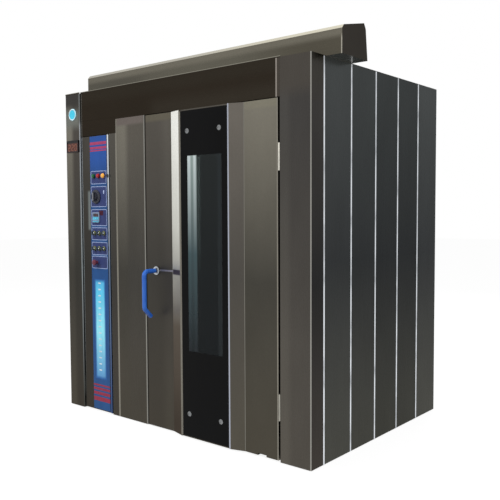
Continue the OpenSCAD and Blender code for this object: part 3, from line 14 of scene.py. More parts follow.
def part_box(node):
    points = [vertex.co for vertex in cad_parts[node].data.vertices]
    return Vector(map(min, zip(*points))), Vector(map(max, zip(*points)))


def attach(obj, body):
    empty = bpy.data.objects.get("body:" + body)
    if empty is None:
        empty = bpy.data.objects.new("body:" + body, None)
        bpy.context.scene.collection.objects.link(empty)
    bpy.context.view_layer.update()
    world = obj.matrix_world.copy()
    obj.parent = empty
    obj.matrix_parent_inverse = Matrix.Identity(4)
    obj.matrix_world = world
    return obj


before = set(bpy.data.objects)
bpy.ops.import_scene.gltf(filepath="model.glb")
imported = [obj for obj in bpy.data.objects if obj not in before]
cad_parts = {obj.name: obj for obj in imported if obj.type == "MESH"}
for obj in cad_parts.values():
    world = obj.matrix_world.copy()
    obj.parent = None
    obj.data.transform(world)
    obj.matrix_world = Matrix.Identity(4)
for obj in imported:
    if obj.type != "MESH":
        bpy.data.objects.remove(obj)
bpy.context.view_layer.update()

bl_info = {
    "name": "Rotating rack oven",
    "version": (1, 0, 0),
    "blender": (4, 5, 0),
    "location": "View3D > Sidebar > Oven",
    "description": "Finishes, prints and trim of a bakery rack oven over its packed model",
    "category": "Object",
}

CORNER = (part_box("left_pillar")[0].x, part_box("left_pillar")[0].y, 0.0)  # front left corner of the footprint


# ---------------- measures and colours


def at(x, y, z):
    """Millimetres from the front left corner to metres in the shared frame; takes numbers or arrays."""
    return np.stack(
        np.broadcast_arrays(CORNER[0] + np.asarray(x) / 1000.0, CORNER[1] + np.asarray(y) / 1000.0,
            CORNER[2] + np.asarray(z) / 1000.0), -1)


def span(axis, lo, hi):
    """A range of millimetres along X, Y or Z as metres in the shared frame."""
    shift = CORNER["xyz".index(axis)]
    return shift + lo / 1000.0, shift + hi / 1000.0


def box_mm(node):
    """Lowest and highest corner of a CAD node in millimetres from the front left corner."""
    return [[(corner[i] - CORNER[i]) * 1000.0 for i in range(3)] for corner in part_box(node)]


def middle(node):
    """Middle of a CAD node in X and Z, in millimetres from the front left corner."""
    lo, hi = box_mm(node)
    return (lo[0] + hi[0]) / 2, (lo[2] + hi[2]) / 2


def linear(colour):
    """sRGB hex such as "#4a4943" to linear RGBA; a property's colour is linear already."""
    if not isinstance(colour, str):
        return tuple(colour)
    parts = [int(colour[i : i + 2], 16) / 255.0 for i in (1, 3, 5)]
    return tuple(c / 12.92 if c <= 0.04045 else ((c + 0.055) / 1.055) ** 2.4 for c in parts) + (1.0,)


# ---------------- nodes

MIX = {"data_type": "RGBA", "out": 2}  # a Mix node that works on colours, and its colour output
TIMES = {"operation": "MULTIPLY"}
SMOOTH = {"interpolation_type": "SMOOTHSTEP"}


def join(tree, node, links):
    """Sets a node's inputs, by name or number, to values or to other nodes' outputs."""
    for name, value in links.items():
        if isinstance(value, bpy.types.NodeSocket):
            tree.links.new(value, node.inputs[name])
        else:
            node.inputs[name].default_value = value


def add(tree, kind, links=None, stops=None, out=0, **settings):
    """Adds a node; kind is its type after "ShaderNode". links gives its inputs, stops the (place, colour)
    pairs of a ramp, settings its properties. Returns output number out, or the node where it has none."""
    node = tree.nodes.new("ShaderNode" + kind)
    for name, value in settings.items():
        setattr(node, name, value)
    if stops:
        ramp = node.color_ramp
        stops = sorted(stops, key=lambda stop: stop[0])
        for place, _ in stops[2:]:
            ramp.elements.new(place)
        for element, (place, colour) in zip(ramp.elements, stops):
            element.position, element.color = place, linear(colour)
    join(tree, node, links or {})
    return node.outputs[out] if len(node.outputs) else node


def blank(name):
    """A material whose shader is joined to the output. Returns it, its tree, the shader and its places()."""
    material = bpy.data.materials.new(name)
    material.use_nodes = True
    tree = material.node_tree
    tree.nodes.clear()
    skin = tree.nodes.new("ShaderNodeBsdfPrincipled")
    add(tree, "OutputMaterial", {"Surface": skin.outputs[0]})
    return material, tree, skin, places(tree)


def places(tree):
    """X, Y and Z of the piece's own coordinates, and of its own normal, as outputs in a dictionary."""
    point = add(tree, "TexCoord", out=3)
    normal = add(tree, "TexCoord", out=1)
    found = {"point": point}
    for letters, vector in (("xyz", point), (("nx", "ny", "nz"), normal)):
        for number, letter in enumerate(letters):
            found[letter] = add(tree, "SeparateXYZ", {0: vector}, out=number)
    return found


def ends(value, lo, hi, out_lo=0.0, out_hi=1.0):
    """Links of a Map Range node that turns lo to hi into out_lo to out_hi."""
    return {"Value": value, "From Min": lo, "From Max": hi, "To Min": out_lo, "To Max": out_hi}


def inside(tree, value, lo, hi, soft):
    """1 where value lies between lo and hi, 0 outside, with smooth steps that are 2 * soft wide."""
    rise = add(tree, "MapRange", ends(value, lo - soft, lo + soft), **SMOOTH)
    fall = add(tree, "MapRange", ends(value, hi - soft, hi + soft, 1.0, 0.0), **SMOOTH)
    return add(tree, "Math", {0: rise, 1: fall}, **TIMES)


def region(tree, spots, where, soft):
    """Product of the ranges in where, such as {"x": (0, 150), "nx": (0.5, 2)}; x, y and z in millimetres."""
    mask = None
    for key, (lo, hi) in where.items():
        if key in "xyz":
            lo, hi = span(key, lo, hi)
            step = soft / 1000.0
        else:
            step = 0.05
        part = inside(tree, spots[key], lo, hi, step)
        mask = part if mask is None else add(tree, "Math", {0: mask, 1: part}, **TIMES)
    return mask


FRONT_REACH = (60, 1960)  # heights of the lowest and the highest tone of a front sheet, in mm
SIDE_REACH = (60, 2200)


def up_the_sheet(tree, spots, colours, reach=FRONT_REACH):
    """One colour, or a tuple of hex colours that stand evenly between the two heights and blend."""
    if isinstance(colours, str) or not isinstance(colours[0], str):
        return linear(colours)
    share = add(tree, "MapRange", ends(spots["z"], reach[0] / 1000.0, reach[1] / 1000.0))
    stops = list(zip(np.linspace(0, 1, len(colours)), colours))
    return add(tree, "ValToRGB", {0: share}, stops=stops)


def lay_over(tree, spots, colour, patches, reach=FRONT_REACH):
    """Lays patches over a colour, each (ranges, soft mm, colours): mostly the painted highlights on edges
    and bevels, and the painted light and shade on parts of a sheet."""
    for where, soft, colours in patches:
        colour = add(tree, "Mix", {0: region(tree, spots, where, soft), 6: colour,
                7: up_the_sheet(tree, spots, colours, reach)}, **MIX)
    return colour


def streaks(tree, spots, across, along, axis, detail=2.0):
    """Noise drawn out along one axis: strokes across mm wide and along mm long."""
    scale = [1000.0 / across] * 3
    scale["xyz".index(axis)] = 1000.0 / along
    stretched = add(tree, "Mapping", {"Vector": spots["point"], "Scale": scale})
    return add(tree, "TexNoise", {"Vector": stretched, "Scale": 1.0, "Detail": detail})


def tint(tree, colour, noise, amount):
    """Lightens and darkens a colour by a noise, by amount each way."""
    gain = add(tree, "MapRange", ends(noise, 0.25, 0.75, 1.0 - amount, 1.0 + amount))
    return add(tree, "Mix", {0: 1.0, 6: colour, 7: gain}, blend_type="MULTIPLY", **MIX)


def spread(tree, noise, lo, hi):
    """A noise's usual range, 0.3 to 0.7, turned into lo to hi: used for roughness that varies."""
    return add(tree, "MapRange", ends(noise, 0.3, 0.7, lo, hi))


# ---------------- finishes

EDGE_TINT = (0.53, 0.53, 0.53, 1.0)  # keeps a sheet from paling when it is seen along its face
CLOUDS = 0.06  # how much wiping lightens and darkens a sheet
FINE = 0.0003  # height of the strokes, in metres
RELIEF = 0.08  # strength of that height

def rolled_sheet(name, ground, patches=(), grain="z", rough=0.27, strokes=0.045, reach=FRONT_REACH):
    """Stainless sheet, belt-brushed: to the eye a grey metal with fine strokes along the sheet, faint clouds
    where it was wiped, and tones over its height that are a painted reflection of the room.

    ground is a colour or a few of them over the height, patches are laid over it.
    The belt leaves strokes about 0.1 mm wide; they are drawn 3 mm wide and 240 mm long, so that they show.
    """
    material, tree, skin, spots = blank(name)
    colour = lay_over(tree, spots, up_the_sheet(tree, spots, ground, reach), patches, reach)
    belt = streaks(tree, spots, 3.0, 240.0, grain, 3.0)
    wiped = streaks(tree, spots, 160.0, 420.0, grain, 3.0)
    pitting = streaks(tree, spots, 6.0, 9.0, grain)
    for noise, amount in ((belt, strokes), (wiped, CLOUDS), (pitting, strokes)):
        colour = tint(tree, colour, noise, amount)
    join(tree, skin, {"Base Color": colour, "Metallic": 1.0, "Specular Tint": EDGE_TINT,
            "Roughness": spread(tree, belt, rough - 0.05, rough + 0.05),
            "Normal": add(tree, "Bump", {"Strength": RELIEF, "Distance": FINE, "Height": belt})})
    return material


def polished_metal(name, colour, rough=0.12, wear="#6f7276", wear_share=0.35, grain="z", patches=()):
    """Polished or ground metal: bright, with duller rubbed stretches and fine strokes, 0.1 mm drawn 4 mm."""
    material, tree, skin, spots = blank(name)
    strokes = streaks(tree, spots, 4.0, 90.0, grain)
    rubbed = streaks(tree, spots, 60.0, 160.0, grain, 3.0)
    dull = add(tree, "MapRange", ends(rubbed, 0.45, 0.75, 0.0, wear_share))
    body = lay_over(tree, spots, up_the_sheet(tree, spots, colour), patches)
    body = tint(tree, add(tree, "Mix", {0: dull, 6: body, 7: linear(wear)}, **MIX), strokes, 0.08)
    join(tree, skin, {"Base Color": body, "Metallic": 1.0,
            "Roughness": spread(tree, rubbed, rough * 0.7, rough * 1.4),
            "Normal": add(tree, "Bump", {"Strength": RELIEF, "Distance": FINE, "Height": strokes})})
    return material


def coated(name, colour, second, rough=0.4, level=0.35, size=60.0, grit=2.0, bump=0.1, metal=0.0, patches=()):
    """Moulded plastic, enamel, rubber or cast surface: a soft drift between two tones and a fine texture.
    size is the drift and grit the texture, both in mm; level is the strength of its gloss. Real grit is
    0.2 to 1 mm and is drawn coarser where it would not show."""
    material, tree, skin, spots = blank(name)
    drift = spread(tree, streaks(tree, spots, size, size, "z", 3.0), 0.0, 1.0)
    grain = streaks(tree, spots, grit, grit, "z")
    body = add(tree, "Mix", {0: drift, 6: linear(colour), 7: linear(second)}, **MIX)
    body = tint(tree, lay_over(tree, spots, body, patches), grain, 0.05)
    join(tree, skin, {"Base Color": body, "Metallic": metal, "Specular IOR Level": level,
            "Roughness": spread(tree, grain, rough - 0.06, rough + 0.06),
            "Normal": add(tree, "Bump", {"Strength": bump, "Distance": grit / 8000.0,
            "Height": grain})})
    return material


def wool(name):
    """Pressed mineral wool: matt ochre mat whose short fibres, 0.01 mm thick, show as a mottle 3 mm wide."""
    return coated(name, "#b39a58", "#8f7b45", 0.95, 0.1, 30.0, 3.0, 0.6)


def ink(name, colour, glow=0.0):
    """Screen ink on the sheet: an even colour that thins in places, half matt."""
    material, tree, skin, spots = blank(name)
    drift = streaks(tree, spots, 25.0, 60.0, "z", 3.0)
    colour = tint(tree, linear(colour), drift, 0.14)
    join(tree, skin, {"Base Color": colour, "Roughness": spread(tree, drift, 0.3, 0.5),
            "Specular IOR Level": 0.1, "Emission Strength": glow})
    if glow:
        join(tree, skin, {"Emission Color": colour})
    return material


# ---------------- surfaces


def quads(index):
    """Four-sided faces between the neighbours of a grid of point numbers."""
    return np.stack([index[:-1, :-1], index[1:, :-1], index[1:, 1:], index[:-1, 1:]], -1).reshape(-1, 4)


def placed(name, data):
    """A new object of the scene, at the origin."""
    made = bpy.data.objects.new(name, data)
    bpy.context.scene.collection.objects.link(made)
    return made


def piece(name, grids, body, material, closed=(False, False)):
    """One object from one or more grids of points, each (rows, columns, 3) in metres. Neighbouring points
    are joined by four-sided faces; closed joins the last row or column to the first. Its UV map holds the
    row and column shares of each point. A finished object sits at the origin and rides on body."""
    points, faces, shares, start = [], [], [], 0
    for grid in grids:
        rows, columns = grid.shape[:2]
        index = np.arange(rows * columns).reshape(rows, columns) + start
        if closed[0]:
            index = np.vstack([index, index[:1]])
        if closed[1]:
            index = np.hstack([index, index[:, :1]])
        faces.append(quads(index))
        points.append(grid.reshape(-1, 3))
        u, v = np.meshgrid(np.linspace(0, 1, columns), np.linspace(0, 1, rows))
        shares.append(np.stack([u, v], -1).reshape(-1, 2))
        start += rows * columns
    points, faces, shares = np.vstack(points), np.vstack(faces), np.vstack(shares)
    mesh = bpy.data.meshes.new(name)
    mesh.from_pydata(points.tolist(), [], faces.tolist())
    layer = mesh.uv_layers.new(name="UVMap")
    corners = np.empty(len(mesh.loops), np.int32)
    mesh.loops.foreach_get("vertex_index", corners)
    layer.data.foreach_set("uv", shares[corners].astype(np.float32).ravel())
    mesh.polygons.foreach_set("use_smooth", np.ones(len(mesh.polygons), bool))
    mesh.materials.append(material)
    made = placed(name, mesh)
    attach(made, body)
    return made


def pad(x0, x1, z0, z1, y, crown=0.3, rows=5, columns=5):
    """Printed or glued patch on a front: a rectangle whose middle stands crown mm proud of its edges,
    y = front - crown * (1 - u^4) * (1 - v^4)."""
    u, v = np.meshgrid(np.linspace(-1, 1, columns), np.linspace(1, -1, rows))
    rise = crown * (1 - u**4) * (1 - v**4)
    return at((x0 + x1) / 2 + u * (x1 - x0) / 2, y - rise, (z0 + z1) / 2 + v * (z1 - z0) / 2)


def frame_line(x0, x1, z0, z1, y, width):
    """Printed outline: a low crowned band carried round a rectangle with round corners."""
    radius, crown = 6.0, 0.25
    turns = np.linspace(0, 2 * math.pi, 49)[:-1]
    quarter = np.floor(turns / (math.pi / 2)).astype(int)
    sx = np.where((quarter == 0) | (quarter == 3), 1.0, -1.0)
    sz = np.where(quarter < 2, 1.0, -1.0)
    mx = (x0 + x1) / 2 + sx * ((x1 - x0) / 2 - radius)
    mz = (z0 + z1) / 2 + sz * ((z1 - z0) / 2 - radius)
    share = np.linspace(-1, 1, 4)[:, None]
    reach = radius + share * width / 2
    return at(mx + reach * np.cos(turns), y - crown * (1 - share**2), mz + reach * np.sin(turns))


def bars(cx, cz, y, length, width, angle, crown=0.3):
    """Bars with pointed ends on a front, one for each entry of the arrays: the width falls to nothing
    over the last part of the length, and the middle stands crown mm proud."""
    cx, cz, length, width, angle = np.broadcast_arrays(
        *(np.atleast_1d(np.asarray(a, float))[:, None, None] for a in (cx, cz, length, width, angle)))
    u = np.array([-1, -0.999, -0.78, 0.78, 0.999, 1])[None, :, None]
    half = np.array([0.02, 0.15, 1, 1, 0.15, 0.02])[None, :, None]
    v = np.linspace(-1, 1, 3)[None, None, :]
    along, across = u * length / 2 + 0 * v, v * half * width / 2
    x = cx + along * np.cos(angle) - across * np.sin(angle)
    z = cz + along * np.sin(angle) + across * np.cos(angle)
    return list(at(x, y - crown * (1 - v**2) * half, z))


SEGMENTS = {"0": "abcdef", "1": "bc", "2": "abged", "3": "abgcd", "4": "fgbc", "5": "afgcd", "6": "afgedc",
        "7": "abc", "8": "abcdefg", "9": "abcfgd"}


def digits(text, cx, cz, y, height, width, stroke, gap):
    """Seven-segment figures: each segment is a pointed bar. Reads left to right from the front."""
    h, w = height / 2, width / 2
    layout = {"a": (0, h, 0), "b": (w, h / 2, 1), "c": (w, -h / 2, 1), "d": (0, -h, 0), "e": (-w, -h / 2, 1),
            "f": (-w, h / 2, 1), "g": (0, 0, 0)}
    start = cx - (len(text) - 1) * (width + gap) / 2
    strokes = np.array([(start + number * (width + gap) + layout[s][0], cz + layout[s][1], layout[s][2])
            for number, figure in enumerate(text) if figure in SEGMENTS for s in SEGMENTS[figure]])
    upright = strokes[:, 2]
    return bars(strokes[:, 0], strokes[:, 1], y, np.where(upright > 0, h, width) * 0.9, stroke,
            upright * math.pi / 2, 0.25)


def turned(profile, cx, cz, count=48):
    """Surface of revolution about an axis along Y through (cx, cz); profile holds (radius, y) in mm."""
    radius, y = np.array(profile, float).T
    angle = np.linspace(0, 2 * math.pi, count + 1)[:-1]
    radius, y = radius[:, None], y[:, None]
    return at(cx + radius * np.cos(angle), y + 0 * angle, cz + radius * np.sin(angle))


def rail(lo, hi, first, second, wide, tall, axis="x"):
    """Folded edge along X or Z: a bar from lo to hi whose section is a rounded rectangle round the line
    (first, second), which is (y, z) or (x, y). The section is first + wide / 2 * c and second - tall / 2 * s,
    where c and s are the cosine and sine of the turn, each to the power 0.4 with its sign kept. It shrinks
    to nothing at both ends."""
    turn = np.linspace(0, 2 * math.pi, 25)[:-1]
    c, s = (np.sign(w) * np.abs(w) ** 0.4 for w in (np.cos(turn), np.sin(turn)))
    along = np.array([lo, lo, lo + 1, hi - 1, hi, hi], float)[:, None] + 0 * turn
    size = np.array([0.001, 0.8, 1, 1, 0.8, 0.001])[:, None]
    first, second = first + size * c * wide / 2, second - size * s * tall / 2
    return at(along, first, second) if axis == "x" else at(first, second, along)


def dress(material, *nodes):
    """Gives CAD nodes a finish, in every material slot that they have."""
    for name in nodes:
        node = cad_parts[name]
        if not node.material_slots:
            node.data.materials.append(material)
        for place in node.material_slots:
            place.material = material


# ---------------- the oven's own tones

# Shared tones of the steel from foot to head: their change over the height is a painted reflection of the room.
# A sheet takes one of them, lighter or darker by shaded()
STEEL = ("#46423b", "#42403c", "#5a5650")
STEEL_LIT = ("#4a463e", "#44423d", "#78746a")  # where the room's light reaches the head of a sheet
STEEL_SIDE = ("#44443f", "#303233", "#404343")
STEEL_PILLAR = ("#504c46", "#444240")
SHADE = ("#403c38", "#2a2a2a", "#3c3a38")
EDGE_HIGHLIGHT = "#88847a"  # painted highlight of a rounded edge: dull bright metal
FOLD_HIGHLIGHT = ("#444440", "#8c9294", "#a4a8ac")  # painted highlight of a folded corner, bright above the waist
BLUE_FOLD_REFLECTION = ("#445884", "#64748c", "#e4e8ec")  # painted highlight of a folded corner with a painted reflection of the overlay's blue: blue at the foot
# Painted reflection of the room on the door's left bevel: dark at the foot, near white at the head
BEVEL_REFLECTION = ("#484038", "#60584f", "#d8d8d0", "#fffff8")
HUB = (middle("handle_sleeve")[0], 1035.0)  # X and Z of the handle's spindle

# Painted view through the window: the dusk of the chamber, and a painted glow of its lamp at the left, from
# foot to head
WINDOW_REACH = (554, 1752)
WINDOW = ("#1e2224", "#2a2e2e")
GLOW = ("#262c2e", "#4c5c60", "#a0b0ac")
GLOW_BRIGHT = ("#303438", "#506468", "#dce8e8")
WINDOW_COVER = 0.84  # how much of the chamber those tones hide


def shaded(tones, gain):
    """The same tones lighter or darker: each channel is multiplied by gain. It makes the lit and shaded copies
    of a sheet's tones, which are painted light and shade, and panels that differ a little in tone.
    """
    return tuple("#" + "".join("%02x" % min(255, round(int(tone[i : i + 2], 16) * gain)) for i in (1, 3, 5))
            for tone in tones)


# ---------------- add-on classes


COLOUR = {"subtype": "COLOR", "size": 4, "min": 0.0, "max": 1.0}  # settings that the colour properties share


class OvenLooks(bpy.types.PropertyGroup):
    """Sizes and colours that a user would change."""

    overlay_blue: bpy.props.FloatVectorProperty(
        name="Overlay blue", description="Ground of the printed sheet at its head",
        default=linear("#31569e"), **COLOUR)
    grip_blue: bpy.props.FloatVectorProperty(
        name="Grip blue", description="Sleeve on the handle", default=linear("#2c66cc"), **COLOUR)
    lamp_green: bpy.props.FloatVectorProperty(
        name="Left lamp", description="Lens of the left lamp", default=linear("#1f6b3a"), **COLOUR)
    lamp_red: bpy.props.FloatVectorProperty(
        name="Middle lamp", description="Lens of the middle lamp", default=linear("#b3262c"), **COLOUR)
    lamp_amber: bpy.props.FloatVectorProperty(
        name="Right lamp", description="Lens of the right lamp", default=linear("#f2b24a"), **COLOUR)
    display_figures: bpy.props.StringProperty(
        name="Display", description="Figures on the red display", default="220")
    controller_figures: bpy.props.StringProperty(
        name="Controller", description="Figures on the controller", default="25")
    line_width: bpy.props.FloatProperty(
        name="Outline width", description="Width of the printed outlines", unit="LENGTH", default=0.0045,
        min=0.002, max=0.01)
    tick_length: bpy.props.FloatProperty(
        name="Tick length", description="Length of the ticks on the light bar", unit="LENGTH", default=0.030,
        min=0.01, max=0.06)


class OVEN_OT_outer_sheets(bpy.types.Operator):
    """Finish the portal, the front panels, the sides, the back and the roof"""

    bl_idname = "oven.outer_sheets"
    bl_label = "Outer sheets"

    def execute(self, context):
        front = {"ny": (-2, -0.5)}
        # Left pillar: a darker copy of the steel, painted light on its outer head and in a band near the top,
        # painted shade above
        dress(rolled_sheet("brushed_stainless_left_pillar", shaded(STEEL, 0.9), [
            ({"x": (-20, 75)}, 25, STEEL_LIT),
            ({"z": (2020, 2140)}, 40, "#72746e"),
            ({"z": (2150, 2300)}, 45, "#413f3d"),
            # Painted highlight on its right corner, duller near the top, and painted shade on its left side
            ({"x": (155, 172), "y": (-9, 30)}, 2.0, FOLD_HIGHLIGHT),
            ({"x": (150, 172), "y": (-9, 30), "z": (2040, 2300)}, 20, "#4b4b46"),
            ({"nx": (-2, -0.5)}, 5, "#3c3e3f"),
        ]), "left_pillar")
        # Right pillar: painted light on the left part and the head of its front, painted shade on its right
        # side
        dress(rolled_sheet("brushed_stainless_right_pillar", STEEL_PILLAR, [
            ({"x": (1900, 2000), **front}, 25, shaded(STEEL_PILLAR, 1.1)),
            ({"z": (2055, 2300), **front}, 50, "#4c4843"),
            ({"nx": (0.5, 2)}, 5, SHADE),
            ({"nx": (0.5, 2), "z": (2070, 2300)}, 60, "#3d3b37"),
            # Painted highlights on its right front corner and along a line on its side
            ({"x": (2139.5, 2160), "y": (-9, 3)}, 1.2, "#9a9892"),
            ({"nx": (0.5, 2), "y": (117, 130)}, 1.6, "#b9b7b2"),
        ]), "right_pillar")
        # Header: a dark sheet whose dark is a painted dark reflection, with painted highlights along lines at
        # both ends
        dress(rolled_sheet("brushed_stainless_header", "#2f2922", [
            ({"z": (2180, 2260)}, 40, "#322d26"),
            ({"z": (2020, 2110), "x": (900, 2000)}, 60, "#353029"),
            ({"x": (160, 176)}, 1.0, "#66635d"),
            ({"x": (1905, 1960)}, 0.8, "#48433d"),
            ({"x": (1901, 1910)}, 0.8, "#938c84"),
        ], grain="x"), "header_panel")
        # Upturned edge of the header's sheet: as dark as the header, with a painted highlight along its top
        painted_highlight = ({"z": (2256, 2270)}, 1.5, "#8b887c")
        piece("header_lip", [rail(0, 162, 1.5, 2254.5, 3, 11), rail(161, 1934, 11.5, 2254.5, 3, 11)],
              "cabinet", rolled_sheet("folded_header_edge", "#2f2a24", [painted_highlight], grain="x"),
              closed=(False, True))
        # Fixed panels: painted light on the head of the fixed panel's left part, the column strip painted a
        # little darker as shade
        dress(rolled_sheet("brushed_stainless_column", shaded(STEEL, 1.03), [
            ({"x": (541, 650)}, 30, STEEL_LIT),
            ({"x": (380, 541)}, 0.8, shaded(STEEL, 0.96)),
            # Painted highlights along the edges by the access door, the column strip and the door, and painted
            # light on the head
            ({"x": (466, 477), "y": (-9, 30)}, 2.0, "#6f6d66"),
            ({"x": (535, 549), "y": (-9, 30)}, 1.2, EDGE_HIGHLIGHT),
            ({"x": (819, 834), "y": (-9, 30)}, 1.4, "#85837d"),
            ({"x": (550, 818), "z": (1992, 2060)}, 12, "#6f6762"),
        ]), "fixed_front_panels")
        # Side panels: the steel's painted reflection of the room over the height; some panels a little lighter
        # than others
        dress(rolled_sheet("brushed_stainless_side", shaded(STEEL_SIDE, 0.92), [
            ({"y": (120, 404)}, 1.0, shaded(STEEL_SIDE, 1.08)),
            ({"y": (404, 684)}, 1.0, STEEL_SIDE),
            ({"y": (1244, 1530)}, 1.0, shaded(STEEL_SIDE, 1.12)),
        ], reach=SIDE_REACH), "side_panels")
        # Back panels: the steel's painted reflection of the room over the height, lighter across the middle
        dress(rolled_sheet("brushed_stainless_back", shaded(STEEL_SIDE, 1.12), [
            ({"x": (700, 1500)}, 300, "#4a4b4a")], reach=SIDE_REACH), "back_panels")
        dress(rolled_sheet("brushed_stainless_roof", "#5a5a57", grain="x", rough=0.4), "roof_panels")
        # Beads rolled over the seams and polished: thin bright lines that dull here and there
        dress(polished_metal("polished_stainless_bead", "#d9dde2", 0.16, "#74777b", 0.75), "seam_strips")
        duct = box_mm("roof_duct")[1][0]
        front, slope = {"ny": (-2, -0.9)}, {"ny": (-0.93, -0.35), "nz": (0.3, 0.93)}
        # Duct sheet, folded and left as rolled: its folds catch the light, so they are drawn lighter as painted
        # highlights
        # Painted shade darkens its end, its back and parts of its front; its underside is painted light so that
        # what mirrors it looks lighter
        dress(rolled_sheet("brushed_stainless_duct", "#5f5c52", [
            ({"nx": (0.5, 2)}, 3, "#36332f"),
            ({"nz": (0.5, 2)}, 3, "#8d8a80"),
            (slope, 3, "#c9c5b8"),
            ({**slope, "x": (1500, 2900)}, 500, "#e4dfcb"),
            ({**front, "z": (2250, 2262)}, 3, "#a7a498"),
            ({**front, "x": (60, 700)}, 300, "#55524a"),
            ({**front, "x": (1750, 2900)}, 300, "#534f45"),
            ({**front, "x": (duct - 6, duct + 9)}, 1.5, "#aaa69a"),
            ({"nz": (-2, -0.5)}, 3, "#d9d7d0"),
            ({**front, "z": (2345, 2390)}, 18, "#6f6b60"),
            ({"ny": (0.3, 2)}, 3, "#484845"),
        ], grain="x"), "roof_duct")
        return {"FINISHED"}


class OVEN_OT_door(bpy.types.Operator):
    """Finish the door: skins, glass, gasket, hinges and dome screws"""

    bl_idname = "oven.door"
    bl_label = "Door"

    def execute(self, context):
        lo, hi = box_mm("door_outer_skin")
        glass_lo, glass_hi = box_mm("door_glass_outer")
        bevel_x0, bevel_x1 = glass_lo[0] - 101.5, glass_hi[0] + 101.5
        face = {"y": (-26, 11)}
        hub_x, hub_z = HUB
        # Door: painted light on the face beside the bevels and on its heads, and the right bevel painted
        # lighter
        dress(rolled_sheet("brushed_stainless_door", STEEL, [
            ({"x": (lo[0] + 170, bevel_x0 + 5), **face}, 55, shaded(STEEL, 1.16)),
            ({"x": (bevel_x1, hi[0] + 5)}, 0.8, shaded(STEEL_LIT, 1.04)),
            ({"x": (bevel_x1, hi[0] + 5), "z": (1992, 2060)}, 12, "#827e70"),
            ({"x": (lo[0] - 5, bevel_x0), "z": (1992, 2060)}, 12, "#676256"),
            ({"x": (glass_hi[0] + 2, bevel_x1)}, 0.8, shaded(STEEL, 1.22)),
            # Left bevel: painted reflection of the room, crossed by a painted reflection of the handle; a
            # painted reflection of its arm
            ({"x": (bevel_x0, glass_lo[0] - 2)}, 0.8, BEVEL_REFLECTION),
            ({"x": (bevel_x0 + 4, glass_lo[0] - 2), "z": (hub_z - 17, hub_z + 15), **face}, 4.0, "#4a4550"),
            ({"x": (hub_x + 20, bevel_x0 + 4), "z": (hub_z - 2, hub_z + 8), **face}, 3.0, "#9a98a4"),
            # Painted shade in the gap at the left edge; painted highlights along the right edge, the glass
            # edges and the right bevel
            ({"x": (lo[0] - 2, lo[0] + 7), "y": (-9, 20)}, 1.0, "#2c2a26"),
            ({"x": (hi[0] - 8, hi[0] + 2), "y": (-9, 20)}, 1.0, EDGE_HIGHLIGHT),
            ({"x": (glass_lo[0] - 10, glass_lo[0] + 0.4), "y": (-26, -8)}, 0.8, EDGE_HIGHLIGHT),
            ({"x": (glass_hi[0] - 0.4, glass_hi[0] + 9), "y": (-26, -8)}, 0.8, "#a8acb8"),
            ({"x": (bevel_x1 - 2, bevel_x1 + 2)}, 1.0, "#7d7b73"),
            ({"y": (30, 200)}, 5, "#454440"),
        ], rough=0.42), "door_outer_skin")
        dress(rolled_sheet("stainless_door_liner", "#6b6a66", rough=0.32), "door_inner_skin")
        dress(wool("pressed_mineral_wool_door"), "door_insulation")
        dress(printed_glass(), "door_glass_outer")
        dress(window_glass(), "door_glass_inner")
        # Extruded silicone: soft and matt, dusty in its hollows
        dress(coated("extruded_silicone_gasket", "#2b2726", "#383331", 0.55, 0.3), "door_gasket")
        # Pressed and polished screw heads: small bright domes that show the room as one light spot
        dress(polished_metal("polished_dome_screw", "#7f8182", 0.3), "glass_screws")
        # Hinge leaves of ground steel: a painted highlight makes them bright at the head, dull at the foot
        painted_highlight = ({"z": (1500, 2100)}, 50, "#e9e5d8")
        dress(polished_metal("ground_hinge_steel", "#a6a398", 0.3, patches=[painted_highlight]),
              "door_hinge_leaves", "frame_hinges")
        # Latch bolt, ground and greased: light grey with strokes along its travel
        dress(polished_metal("ground_latch_bolt", "#a6a8aa", 0.2, grain="x"), "latch_bolt")
        # Drawn steel rod, polished by hands: a clear bright line along it
        dress(polished_metal("polished_handle_rod", "#c3c7cb", 0.14), "handle_lever")
        return {"FINISHED"}


def printed_glass():
    """Toughened float glass, printed black at the back except for the window, which is clear and looks
    into the dark oven: to the eye an even deep black, and in the window a painted view of the chamber,
    a green-grey dusk with a painted glow at its left, where the chamber's lamp stands."""
    material, tree, skin, spots = blank("printed_float_glass")
    lo, hi = box_mm("door_glass_inner")
    lo, hi = (lo[0] + 16, lo[2] + 6), (hi[0] + 5, hi[2] - 6)
    window = region(tree, spots, {"x": (lo[0], hi[0]), "z": (lo[1], hi[1])}, 1.5)
    haze = streaks(tree, spots, 120.0, 300.0, "z", 3.0)
    edge = box_mm("door_glass_outer")[0][0]
    black = tint(tree, linear("#0a0a0b"), haze, 0.2)
    # Painted highlight along the glass's left edge
    border = lay_over(tree, spots, black, [({"x": (edge - 5, edge + 8)}, 2, EDGE_HIGHLIGHT)])
    left = lo[0] - 1
    view = up_the_sheet(tree, spots, WINDOW, WINDOW_REACH)
    view = lay_over(tree, spots, view, [
        ({"x": (left, left + 78)}, 5, GLOW),
        ({"x": (left, left + 27)}, 6, GLOW_BRIGHT),
        ({"x": (left + 50, left + 72)}, 6, GLOW_BRIGHT),
    ], WINDOW_REACH)
    view = lay_over(tree, spots, view, [({"x": (hi[0] - 34, hi[0])}, 4, "#2e3335")])
    colour = add(tree, "Mix", {0: window, 6: border, 7: view}, **MIX)
    opaque = add(tree, "MapRange", ends(window, 0.0, 1.0, 1.0, WINDOW_COVER))
    join(tree, skin, {"Base Color": colour, "Roughness": spread(tree, haze, 0.03, 0.1),
            "Specular IOR Level": 0.06, "Alpha": opaque})
    return material


